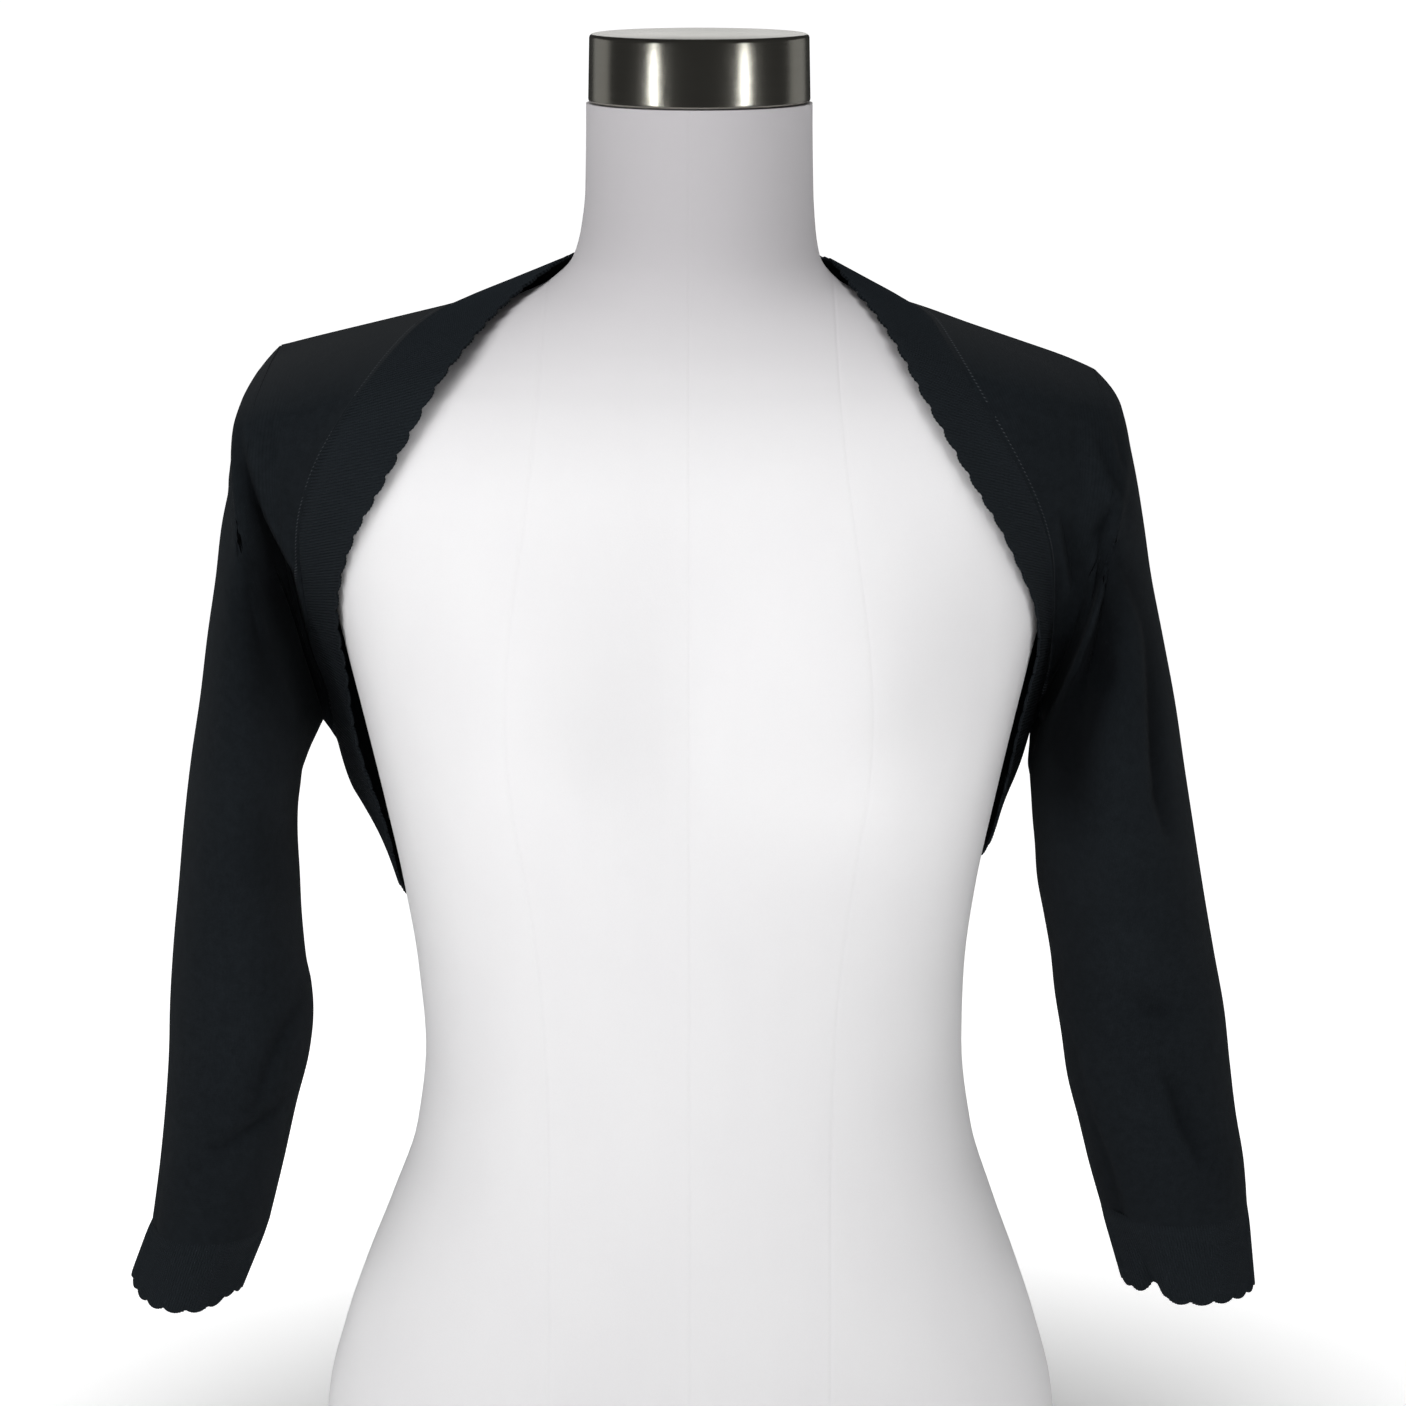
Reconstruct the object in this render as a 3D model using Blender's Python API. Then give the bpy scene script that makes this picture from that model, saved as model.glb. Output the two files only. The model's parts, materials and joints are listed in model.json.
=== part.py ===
"""A black knitted shrug with three-quarter sleeves on a limbless dress form.

The frame has +X to the right as one faces the front, -Y to the front and +Z up, and
its origin is on the surface that the form stands on, below the middle of its waist.
Tables and named sizes are in millimetres, and each mesh is scaled to metres.
"""

import math
from collections import namedtuple

import bpy
from mathutils import Vector
from mathutils.bvhtree import BVHTree

MM = 0.001
ALMOST_NOTHING = 1e-6

# Cloth sizes
WALL = 1.5
SEAM_GAP = 0.3
FORM_CLEARANCE = 2.5
BACK_CLEARANCE = 3.4
BAND_CLEARANCE = 2.5
BAND_PROBES = (0.25, 0.5, 0.75)
BAND_PROBE_CLEARANCE = 1.4

# How a sleeve hangs clear of the body beside its armhole, over this reach and rings
SLEEVE_TO_BODY = 6.0
BODY_REACH = 60.0
BODY_RINGS = 8
ON_THE_EDGE = 0.5
CLEARING_ROUNDS = 6
CLEARING_EASE = 0.25

# Cloth length of one degree round a sleeve and of one ring down it
TURN_LENGTH = 0.68
RING_LENGTH = 23.0

# Ribbed band and cuffs
RIB_PITCH = 1.8
RIB_RISE = 0.5
RIB_RISE_AT_SEAM = 0.15
SCALLOP_PITCH = 10.4
SCALLOP_DEPTH = 2.0
SCALLOP_POWER = 0.75
CUFF_SCALLOPS = 19
CUFF_RIBS_PER_COLUMN = 5

# Faces of the coarse cloth walls
SLEEVE_COLUMNS = 24
PANEL_COLUMNS = 5
SIDE_WIDENING = 1.6
SEAM_SMOOTHINGS = 3
BACK_COLUMNS = 14
BAND_COLUMNS_PER_SEGMENT = 2
ARMHOLE_ROWS = SLEEVE_COLUMNS // 2
RELAX_ROUNDS = 120
LEAST_PULL = 0.2
MOST_PULL = 20.0
CURVE_STEPS = 400

# Dress form
FORM_COLUMNS = 36
FORM_TURN_STEP = 360 / FORM_COLUMNS
BOARD_HEIGHT = 12.0
BOARD_OVERHANG = 3.0
BOARD_EDGE_ROUND = 3.0
CAP_RADIUS = 48.6
CAP_TAPER = 0.6
CAP_BOTTOM = 657.3
CAP_TOP = 687.0
CAP_EDGE_ROUND = 1.8
CAP_COLUMNS = 40
SHARP_ANGLE = math.radians(30)

FormRow = namedtuple("FormRow", "height half_width front back power centre_x centre_y")
FORM_ROWS = [
    FormRow(12.3, 166.4, 99, 110, 2.30, -2.2, 0),
    FormRow(35, 168.9, 101, 114, 2.30, -2.2, 0),
    FormRow(70, 166.4, 102, 113, 2.30, -2.2, 0),
    FormRow(100, 159.0, 101, 109, 2.30, -2.1, 0),
    FormRow(130, 149.0, 98, 102, 2.25, -1.8, 0),
    FormRow(160, 137.7, 94, 94, 2.20, -1.2, 0),
    FormRow(195, 126.3, 89, 84, 2.20, -0.5, 0),
    FormRow(235, 121.7, 86, 78, 2.20, -0.6, 0),
    FormRow(270, 123.4, 88, 80, 2.20, -1.6, 0),
    FormRow(310, 128.9, 92, 84, 2.25, -2.2, 0),
    FormRow(350, 137.0, 97, 89, 2.30, -2.3, 0),
    FormRow(390, 145.9, 100, 93, 2.35, -2.4, 0),
    FormRow(425, 154.4, 99, 95, 2.40, -2.4, 0),
    FormRow(455, 162.0, 95, 96, 2.40, -2.4, 0),
    FormRow(485, 170.0, 90, 96, 2.40, -2.4, 0),
    FormRow(508, 175.0, 84, 94, 2.35, -2.4, 1),
    FormRow(522.5, 176.0, 79, 91, 2.30, -2.4, 2),
    FormRow(533.5, 172.0, 75, 87, 2.20, -2.4, 3),
    FormRow(542.5, 156.5, 71, 83, 2.10, -2.4, 4),
    FormRow(551.5, 132.0, 67, 78, 2.00, -2.2, 4),
    FormRow(560.5, 109.0, 62, 72, 2.00, -1.8, 4),
    FormRow(569.5, 85.0, 58, 66, 2.00, -1.2, 4),
    FormRow(579, 64.0, 54, 60, 2.00, -0.4, 4),
    FormRow(590, 54.3, 51, 55, 2.00, 0.8, 4),
    FormRow(604, 51.3, 49.8, 52, 2.00, 1.6, 4),
    FormRow(620, 50.0, 49, 50, 2.00, 2.0, 4),
    FormRow(657, 49.5, 49, 49, 2.00, 2.0, 4),
]

# The bust of the form, a soft mound on each side of its front
BUST_HEIGHT = 404.0
BUST_ASIDE = 78.0
BUST_REACH = 24.0
BUST_WIDE = 40.0
BUST_ABOVE = 52.0
BUST_BELOW = 36.0

# The ribbed band goes all round the opening. Each row is one station, from the middle
# of the back neck, over the shoulder, down the front, under the arm and to the middle
# of the back hem: a point of its sewn seam and the point of its free edge beside it.
BandRow = namedtuple("BandRow", "seam_x seam_y seam_z edge_x edge_y edge_z")
BAND_LEFT = [
    BandRow(0, 80, 563, 0, 64, 588),
    BandRow(-38, 76, 564, -31, 56, 589),
    BandRow(-72, 58, 565, -50, 39, 587.5),
    BandRow(-94, 35, 566.5, -57, 24, 585),
    BandRow(-107, 14, 567, -61, 10, 585),
    BandRow(-120, -10, 561, -78, -18, 575),
    BandRow(-131, -36, 551, -92, -41, 563),
    BandRow(-142, -54, 538, -104, -58, 549),
    BandRow(-152, -60, 523, -115, -66, 534),
    BandRow(-161, -60, 507, -125, -69, 515),
    BandRow(-168, -53, 489, -135, -69, 497),
    BandRow(-172, -43, 471, -145, -64, 479),
    BandRow(-173, -31, 455, -152, -54, 460),
    BandRow(-172, -18, 438, -155, -42, 442),
    BandRow(-171, -5, 422, -155, -30, 421),
    BandRow(-169, 6, 408, -152, -21, 403),
    BandRow(-164, 13, 392, -152, -15, 387),
    BandRow(-162, 18, 375, -149, -11, 371),
    BandRow(-159.5, 22, 360, -145, -9, 354),
    BandRow(-155, 28, 346, -139, -5, 337),
    BandRow(-150, 37, 332, -135, 3, 317),
    BandRow(-139, 51, 324, -131, 22, 298),
    BandRow(-118, 70, 320, -116, 48, 291),
    BandRow(-88, 83, 318, -92, 69, 290),
    BandRow(-58, 91, 316, -63, 81, 287),
    BandRow(-29, 95, 315, -32, 87, 286),
    BandRow(0, 96, 315, 0, 89, 286),
]
BAND_RIGHT = [
    BandRow(0, 80, 563, 0, 64, 588),
    BandRow(36, 76, 564, 30, 56, 588),
    BandRow(66, 58, 564, 48, 39, 586),
    BandRow(84, 34, 564.5, 55, 24, 583.5),
    BandRow(94, 12, 564, 58, 10, 582.5),
    BandRow(102, -12, 559, 70, -18, 574),
    BandRow(111, -38, 550, 82, -40, 564),
    BandRow(120, -52, 537, 91, -58, 549),
    BandRow(128, -58, 522, 100, -68, 533),
    BandRow(136, -58, 507, 110, -73, 516),
    BandRow(143, -54, 491, 120, -75, 499),
    BandRow(150, -46, 473, 130, -73, 482),
    BandRow(155, -35, 456, 139, -66, 463),
    BandRow(158, -22, 438, 146, -55, 447),
    BandRow(158, -10, 424, 150, -42, 430),
    BandRow(157, 0, 409, 149, -30, 413),
    BandRow(154, 8, 392, 146, -22, 396),
    BandRow(151, 14, 377, 143, -16, 380),
    BandRow(148, 20, 363, 140, -12, 364),
    BandRow(144, 28, 349, 137, -7, 348),
    BandRow(139, 39, 337, 133, 3, 331),
    BandRow(130, 53, 328, 128, 22, 313),
    BandRow(112, 69, 322, 114, 48, 300),
    BandRow(88, 83, 319, 92, 69, 293),
    BandRow(58, 91, 317, 63, 81, 289),
    BandRow(29, 95, 315, 32, 87, 287),
    BandRow(0, 96, 315, 0, 89, 286),
]
SHOULDER_STATION = 4
SIDE_STATION = {"left": 17.3, "right": 17.0}

# Armholes: sixteen stations round each, from the shoulder tip down the front to the
# underarm, then up the back
ArmholeRow = namedtuple("ArmholeRow", "x y z")
ARMHOLE_LEFT = [
    ArmholeRow(-184, 4, 549.5),
    ArmholeRow(-194, -22, 534.5),
    ArmholeRow(-198, -38, 513),
    ArmholeRow(-197, -44, 490),
    ArmholeRow(-191, -37, 470),
    ArmholeRow(-185, -23, 450),
    ArmholeRow(-180, -6, 429),
    ArmholeRow(-175.5, 11, 404),
    ArmholeRow(-169.5, 25, 380),
    ArmholeRow(-173, 41, 393),
    ArmholeRow(-177, 53, 414),
    ArmholeRow(-182, 61, 445),
    ArmholeRow(-187, 64, 470),
    ArmholeRow(-193, 61, 494),
    ArmholeRow(-196, 49, 518),
    ArmholeRow(-194, 27, 536.5),
]
ARMHOLE_RIGHT = [
    ArmholeRow(179, 4, 539.5),
    ArmholeRow(183, -22, 525),
    ArmholeRow(185.5, -38, 509),
    ArmholeRow(185, -45, 491),
    ArmholeRow(180, -42, 470),
    ArmholeRow(176, -30, 450),
    ArmholeRow(170.5, -12.5, 427),
    ArmholeRow(165, 6, 405),
    ArmholeRow(157, 23, 384),
    ArmholeRow(161, 39, 397),
    ArmholeRow(166, 52, 417),
    ArmholeRow(171, 60, 444),
    ArmholeRow(175, 63, 468),
    ArmholeRow(180, 60, 490),
    ArmholeRow(185, 48, 509),
    ArmholeRow(185, 26, 525),
]

# Sleeve rings from the armhole down to the cuff seam: the outermost and the innermost
# point as seen from the front, half the depth from front to back, and the centre's y
SleeveRow = namedtuple("SleeveRow", "outer_x outer_z inner_x inner_z half_depth centre_y")
SLEEVE_LEFT = [
    SleeveRow(-185.5, 550, -168, 379, 52, 8),
    SleeveRow(-196.5, 537, -170, 375, 54, 8),
    SleeveRow(-201, 519.5, -172, 371, 56, 8),
    SleeveRow(-204, 499, -174, 367, 57, 7),
    SleeveRow(-209, 476, -176, 362, 58, 7),
    SleeveRow(-212.5, 451, -178, 356, 58, 6),
    SleeveRow(-217, 424, -179, 348, 58, 5),
    SleeveRow(-221, 396, -180, 338, 57, 4),
    SleeveRow(-226, 367, -180, 325, 55, 3),
    SleeveRow(-230, 338, -179, 308, 52, 2),
    SleeveRow(-233, 309, -178, 289, 49, 0),
    SleeveRow(-236, 281, -176, 270, 46, -2),
    SleeveRow(-238, 255, -173, 250, 43.5, -4),
    SleeveRow(-239, 230, -175, 229, 42, -6),
    SleeveRow(-241, 205, -181, 206, 41, -8),
    SleeveRow(-244, 179, -187, 180, 40, -9),
    SleeveRow(-248, 152, -194, 152, 39, -10),
]
SLEEVE_RIGHT = [
    SleeveRow(179, 539, 157, 387, 52, 8),
    SleeveRow(187, 527, 156.0, 377, 54, 8),
    SleeveRow(191, 511, 152.5, 371, 56, 8),
    SleeveRow(195, 494, 151.5, 362, 57, 7),
    SleeveRow(199, 473, 152, 353, 58, 7),
    SleeveRow(203, 449, 152.5, 344, 58, 6),
    SleeveRow(209, 421, 153, 334, 58, 5),
    SleeveRow(215, 392, 154, 322, 57, 4),
    SleeveRow(220, 362, 155, 307, 55, 3),
    SleeveRow(225, 333, 158, 291, 51, 2),
    SleeveRow(230, 304, 161, 274, 48, 0),
    SleeveRow(235, 277, 163, 256, 44, -2),
    SleeveRow(240, 251, 166, 238, 42, -4),
    SleeveRow(243, 226, 169, 218, 40, -6),
    SleeveRow(246, 203, 174, 199, 39, -8),
    SleeveRow(250, 181, 179, 179, 38, -9),
    SleeveRow(252, 160, 184.5, 160, 37, -10),
]
# Rings over which the armhole's own shape, and the folds above the cuff, fade out
ARMHOLE_FADE = 6
CUFF_FADE = 1.5

# Cuffs: the free edge as the outermost and innermost x, its height, half its depth
CuffRow = namedtuple("CuffRow", "outer_x inner_x edge_z half_depth centre_y")
CUFFS = {
    "left": CuffRow(-257, -207, 120, 37, -10),
    "right": CuffRow(256, 197, 123, 35, -10),
}

# Large folds of the sleeves: each is a soft trough, or a ridge where its depth is
# negative, from one place to another. A place is a turn round the sleeve, 0 outermost
# and 90 in front, and a height in rings down the sleeve.
FoldRow = namedtuple("FoldRow", "start_turn start_ring end_turn end_ring half_width depth")
FOLDS_LEFT = [
    FoldRow(98, 2.4, 130, 6.5, 15, 5.0),
    FoldRow(128, 6.5, 118, 10.5, 17, 3.5),
    FoldRow(150, 11.3, 78, 12.6, 11, 4.0),
    FoldRow(78, 12.6, 40, 14.8, 10, 2.5),
    FoldRow(268, 2.0, 235, 8.0, 16, 5.0),
    FoldRow(215, 11.0, 285, 13.0, 12, 3.5),
]
FOLDS_RIGHT = [
    FoldRow(62, 2.2, 72, 5.5, 11, 4.0),
    FoldRow(72, 5.5, 60, 10.0, 11, 4.5),
    FoldRow(100, 4.0, 118, 8.0, 15, 5.0),
    FoldRow(128, 11.0, 84, 13.5, 11, 4.0),
    FoldRow(84, 13.5, 78, 16.0, 9, 4.0),
    FoldRow(268, 2.0, 240, 8.0, 16, 5.0),
    FoldRow(230, 11.0, 285, 13.4, 12, 3.5),
]

FOLD_SPREAD = 0.6
FOLD_AT_ENDS = 0.45

# Soft fullness of the panels, outwards, in the middle of each
FRONT_FULLNESS = 2.6
BACK_FULLNESS = 1.5


def clear_scene():
    """Removes whatever the startup scene holds."""
    for obj in list(bpy.data.objects):
        bpy.data.objects.remove(obj, do_unlink=True)


def make_material(name, colour, roughness, metallic):
    """A Principled material in one plain finish."""
    material = bpy.data.materials.new(name)
    material.use_nodes = True
    shader = material.node_tree.nodes["Principled BSDF"]
    shader.inputs["Base Color"].default_value = (*colour, 1)
    shader.inputs["Roughness"].default_value = roughness
    shader.inputs["Metallic"].default_value = metallic
    return material


def add_object(name, points, faces, material):
    """Makes one smooth object from points in millimetres."""
    mesh = bpy.data.meshes.new(name)
    mesh.from_pydata([point * MM for point in points], [], faces)
    mesh.validate()
    mesh.materials.append(material)
    mesh.shade_smooth()
    obj = bpy.data.objects.new(name, mesh)
    bpy.context.collection.objects.link(obj)
    return obj


def row_at(rows, place):
    """Values of the rows at a place of their first column, on a curve with no overshoot."""
    last = len(rows) - 1
    place = min(max(place, rows[0][0]), rows[last][0])
    index = max(k for k in range(last) if rows[k][0] <= place)
    low = rows[index]
    high = rows[index + 1]
    step = high[0] - low[0]
    t = (place - low[0]) / step
    values = []
    for column in range(1, len(low)):
        slopes = []
        for k in (index, index + 1):
            before = max(k - 1, 0)
            after = min(k + 1, last)
            left = rows[k][column] - rows[before][column]
            right = rows[after][column] - rows[k][column]
            left /= max(rows[k][0] - rows[before][0], ALMOST_NOTHING)
            right /= max(rows[after][0] - rows[k][0], ALMOST_NOTHING)
            same_way = left * right > 0
            slopes.append(2 * left * right / (left + right) if same_way else 0.0)
        values.append(
            (2 * t**3 - 3 * t**2 + 1) * low[column]
            + (t**3 - 2 * t**2 + t) * step * slopes[0]
            + (3 * t**2 - 2 * t**3) * high[column]
            + (t**3 - t**2) * step * slopes[1]
        )
    return values


def form_point(turn, height):
    """A point of the form's surface: turn 0 is the front and 90 is +X."""
    half_width, front, back, power, centre_x, centre_y = row_at(FORM_ROWS, height)
    side = math.sin(math.radians(turn))
    ahead = math.cos(math.radians(turn))
    aside = math.copysign(abs(side) ** (2 / power), side) * half_width
    x = centre_x + aside
    reach = abs(ahead) ** (2 / power)
    if ahead <= 0:
        return Vector((x, centre_y + reach * back, height))
    spread = BUST_ABOVE if height > BUST_HEIGHT else BUST_BELOW
    up_down = (height - BUST_HEIGHT) / spread
    sideways = (abs(aside) - BUST_ASIDE) / BUST_WIDE
    bust = BUST_REACH * math.exp(-0.5 * (up_down**2 + sideways**2))
    return Vector((x, centre_y - reach * front - bust * min(1, 2 * reach), height))


def lathe_points(rings):
    """Faces that join rings of equal length and close both ends with a fan."""
    count = len(rings[0])
    points = [point for ring in rings for point in ring]
    faces = []
    for row in range(len(rings) - 1):
        for column in range(count):
            near = row * count + column
            beside = row * count + (column + 1) % count
            faces.append((near, beside, beside + count, near + count))
    for row, ring in ((0, rings[0]), (len(rings) - 1, rings[-1])):
        middle = sum(ring, Vector()) / count
        points.append(middle)
        for column in range(count):
            near = row * count + column
            beside = row * count + (column + 1) % count
            order = (beside, near) if row == 0 else (near, beside)
            faces.append((*order, len(points) - 1))
    return points, faces


def round_ring(radius, height, count, centre_x, centre_y):
    """A ring of points that runs the same way as the form's sections."""
    ring = []
    for column in range(count):
        turn = math.radians(360 * column / count)
        x = centre_x + radius * math.sin(turn)
        y = centre_y - radius * math.cos(turn)
        ring.append(Vector((x, y, height)))
    return ring


def build_form(jersey):
    """The padded torso in its white jersey, closed under the hips and at the neck."""
    rings = []
    for row in FORM_ROWS:
        turns = [FORM_TURN_STEP * column for column in range(FORM_COLUMNS)]
        rings.append([form_point(turn, row.height) for turn in turns])
    points, faces = lathe_points(rings)
    add_object("form_torso", points, faces, jersey)
    return BVHTree.FromPolygons(points, faces)


def build_base(wood):
    """The plain board under the form, which stands on the shelf."""
    rings = []
    low = FORM_ROWS[0]
    for inset, height in (
        (BOARD_EDGE_ROUND, 0.0),
        (0.0, BOARD_EDGE_ROUND),
        (0.0, BOARD_HEIGHT - BOARD_EDGE_ROUND),
        (BOARD_EDGE_ROUND, BOARD_HEIGHT),
    ):
        scale = 1 + (BOARD_OVERHANG - inset) / low.half_width
        ring = []
        for column in range(FORM_COLUMNS):
            point = form_point(FORM_TURN_STEP * column, low.height)
            ring.append(Vector((point.x * scale, point.y * scale, height)))
        rings.append(ring)
    points, faces = lathe_points(rings)
    board = add_object("base_board", points, faces, wood)
    board.data.set_sharp_from_angle(angle=SHARP_ANGLE)


def build_cap(steel):
    """The brushed metal cap on the neck."""
    neck = FORM_ROWS[-1]
    rings = []
    for radius, height in (
        (CAP_RADIUS - CAP_EDGE_ROUND, CAP_BOTTOM),
        (CAP_RADIUS, CAP_BOTTOM + CAP_EDGE_ROUND),
        (CAP_RADIUS - CAP_TAPER, CAP_TOP - CAP_EDGE_ROUND),
        (CAP_RADIUS - CAP_TAPER - CAP_EDGE_ROUND, CAP_TOP),
    ):
        rings.append(round_ring(radius, height, CAP_COLUMNS, neck.centre_x, neck.centre_y))
    points, faces = lathe_points(rings)
    cap = add_object("neck_cap", points, faces, steel)
    cap.data.set_sharp_from_angle(angle=SHARP_ANGLE)


def curve_at(stations, place, closed):
    """A point at a place, counted in stations, on a smooth curve through them."""
    count = len(stations)
    index = math.floor(place)
    if not closed:
        index = min(max(index, 0), count - 2)
    t = place - index
    picked = []
    for k in range(index - 1, index + 3):
        picked.append(stations[k % count] if closed else stations[min(max(k, 0), count - 1)])
    a, b, c, d = picked
    first = (c - a) / 2
    second = (d - b) / 2
    return (
        b * (2 * t**3 - 3 * t**2 + 1)
        + first * (t**3 - 2 * t**2 + t)
        + c * (3 * t**2 - 2 * t**3)
        + second * (t**3 - t**2)
    )


def even_places(stations, start, end, count, closed):
    """Places, counted in stations, that part a stretch of a curve into equal lengths."""
    steps = CURVE_STEPS
    places = [start + (end - start) * k / steps for k in range(steps + 1)]
    points = [curve_at(stations, place, closed) for place in places]
    travelled = [0.0]
    for before, after in zip(points, points[1:]):
        travelled.append(travelled[-1] + (after - before).length)
    chosen = []
    for k in range(count + 1):
        wanted = travelled[-1] * k / count
        index = max(i for i in range(steps) if travelled[i] <= wanted + ALMOST_NOTHING)
        length = travelled[index + 1] - travelled[index]
        part = (wanted - travelled[index]) / length
        chosen.append(places[index] + part * (places[index + 1] - places[index]))
    return chosen


def pushed_out(point, form, clearance):
    """The point, moved outwards where it is nearer to the form than the clearance."""
    nearest, normal, _, distance = form.find_nearest(point)
    if normal is None:
        return point
    signed = (point - nearest).dot(normal)
    if signed > 0 and distance >= clearance:
        return point
    if signed <= 0:
        return nearest + normal * clearance
    return nearest + (point - nearest).normalized() * clearance


def relaxed(grid, form, clearance):
    """The grid's inner points drawn taut between its edges and over the form."""
    rows = len(grid)
    columns = len(grid[0])
    for _ in range(RELAX_ROUNDS):
        for i in range(1, rows - 1):
            across_length = (grid[i][-1] - grid[i][0]).length / (columns - 1)
            for j in range(1, columns - 1):
                down_length = (grid[i + 1][j] - grid[i - 1][j]).length / 2
                pull = (down_length / across_length) ** 2
                pull = min(max(pull, LEAST_PULL), MOST_PULL)
                across = grid[i][j - 1] + grid[i][j + 1]
                along = grid[i - 1][j] + grid[i + 1][j]
                middle = (across * pull + along) / (2 * pull + 2)
                grid[i][j] = pushed_out(middle, form, clearance)
    return grid


def coons(top, bottom, left, right):
    """A grid that blends its four edges. Top and bottom run across, the others down."""
    rows = len(left)
    columns = len(top)
    grid = []
    for i in range(rows):
        v = i / (rows - 1)
        row = []
        for j in range(columns):
            u = j / (columns - 1)
            ruled = top[j] * (1 - v) + bottom[j] * v + left[i] * (1 - u) + right[i] * u
            upper = top[0] * (1 - u) + top[-1] * u
            lower = bottom[0] * (1 - u) + bottom[-1] * u
            row.append(ruled - upper * (1 - v) - lower * v)
        row[0] = left[i]
        row[-1] = right[i]
        grid.append(row)
    grid[0] = list(top)
    grid[-1] = list(bottom)
    return grid


def column_parts(widening):
    """Where a front's columns lie across it, the one by the armhole widened by a share."""
    wide = (1 + widening) / PANEL_COLUMNS
    narrow = (1 - wide) / (PANEL_COLUMNS - 1)
    return [narrow * k for k in range(PANEL_COLUMNS)] + [1.0]


def straight_seam(start, end, parts, form):
    """A seam from one point to another, held off the form."""
    points = [start]
    for part in parts[1:-1]:
        points.append(pushed_out(start.lerp(end, part), form, FORM_CLEARANCE))
    return points + [end]


def respaced(grid, form):
    """The front's columns spread so that the one by the armhole widens down to the side."""
    rows = len(grid)
    moved = [grid[0]]
    for i in range(1, rows - 1):
        parts = column_parts(SIDE_WIDENING * i / (rows - 1))
        row = [grid[i][0]]
        for part in parts[1:-1]:
            place = part * PANEL_COLUMNS
            near = int(place)
            point = grid[i][near].lerp(grid[i][near + 1], place - near)
            row.append(pushed_out(point, form, FORM_CLEARANCE))
        moved.append(row + [grid[i][-1]])
    return moved + [grid[-1]]


class Half:
    """The left or right side's shared curves: band seam, band edge, armhole, seams."""

    def __init__(self, side, form):
        band_rows = BAND_LEFT if side == "left" else BAND_RIGHT
        armhole_rows = ARMHOLE_LEFT if side == "left" else ARMHOLE_RIGHT
        self.form = form
        self.seam_stations = []
        self.edge_stations = []
        for row in band_rows:
            seam = Vector((row.seam_x, row.seam_y, row.seam_z))
            edge = Vector((row.edge_x, row.edge_y, row.edge_z))
            self.seam_stations.append(pushed_out(seam, form, BAND_CLEARANCE))
            self.edge_stations.append(pushed_out(edge, form, BAND_CLEARANCE))
        armhole = [Vector(row) for row in armhole_rows]
        count = len(armhole)
        front_places = even_places(armhole, 0, count / 2, ARMHOLE_ROWS, True)
        back_places = even_places(armhole, count, count / 2, ARMHOLE_ROWS, True)
        self.armhole_front = [curve_at(armhole, place, True) for place in front_places]
        self.armhole_back = [curve_at(armhole, place, True) for place in back_places]
        last = len(band_rows) - 1
        side_station = SIDE_STATION[side]
        half_back = BACK_COLUMNS // 2
        seam = self.seam_stations
        self.neck_places = even_places(seam, 0, SHOULDER_STATION, half_back, False)
        self.front_places = even_places(
            seam, SHOULDER_STATION, side_station, ARMHOLE_ROWS, False
        )
        self.hem_places = even_places(seam, side_station, last, half_back, False)
        self.neck = [self.band_pair(place)[0] for place in self.neck_places]
        self.front = [self.band_pair(place)[0] for place in self.front_places]
        self.hem = [self.band_pair(place)[0] for place in self.hem_places]
        self.shoulder_seam = straight_seam(
            self.front[0], self.armhole_front[0], column_parts(0), form
        )
        self.side_seam = straight_seam(
            self.front[-1], self.armhole_front[-1], column_parts(SIDE_WIDENING), form
        )

    def band_pair(self, place):
        """The seam's and the edge's point at a place, clear of the form between them."""
        seam = curve_at(self.seam_stations, place, False)
        edge = curve_at(self.edge_stations, place, False)
        seam = pushed_out(seam, self.form, BAND_CLEARANCE)
        edge = pushed_out(edge, self.form, BAND_CLEARANCE)
        for part in BAND_PROBES:
            point = seam.lerp(edge, part)
            lift = pushed_out(point, self.form, BAND_PROBE_CLEARANCE) - point
            seam += lift
            edge += lift
        return seam, edge


def front_grid(half, form):
    """A front: rows from the shoulder seam to the side seam, columns out to the armhole."""
    grid = coons(half.shoulder_seam, half.side_seam, half.front, half.armhole_front)
    grid = respaced(relaxed(grid, form, FORM_CLEARANCE), form)
    return fuller(grid, FRONT_FULLNESS)


def back_grid(left, right, form):
    """The back: rows from the neck to the hem, columns from left to right."""
    edges = []
    for half in (left, right):
        up_side = list(reversed(half.side_seam))
        edges.append(half.shoulder_seam + half.armhole_back[1:] + up_side[1:])
    top = list(reversed(left.neck)) + right.neck[1:]
    bottom = left.hem + list(reversed(right.hem))[1:]
    grid = coons(top, bottom, edges[0], edges[1])
    grid = relaxed(grid, form, BACK_CLEARANCE)
    return fuller(grid, BACK_FULLNESS)


def fuller(grid, fullness):
    """The grid with its middle eased outwards, as loose knit stands off a little."""
    rows = len(grid)
    columns = len(grid[0])
    normals = outward_normals(grid, False, False)
    eased = [list(row) for row in grid]
    for i in range(1, rows - 1):
        for j in range(1, columns - 1):
            rise = math.sin(math.pi * i / (rows - 1)) * math.sin(math.pi * j / (columns - 1))
            eased[i][j] = grid[i][j] + normals[i][j] * fullness * rise
    return eased


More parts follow.
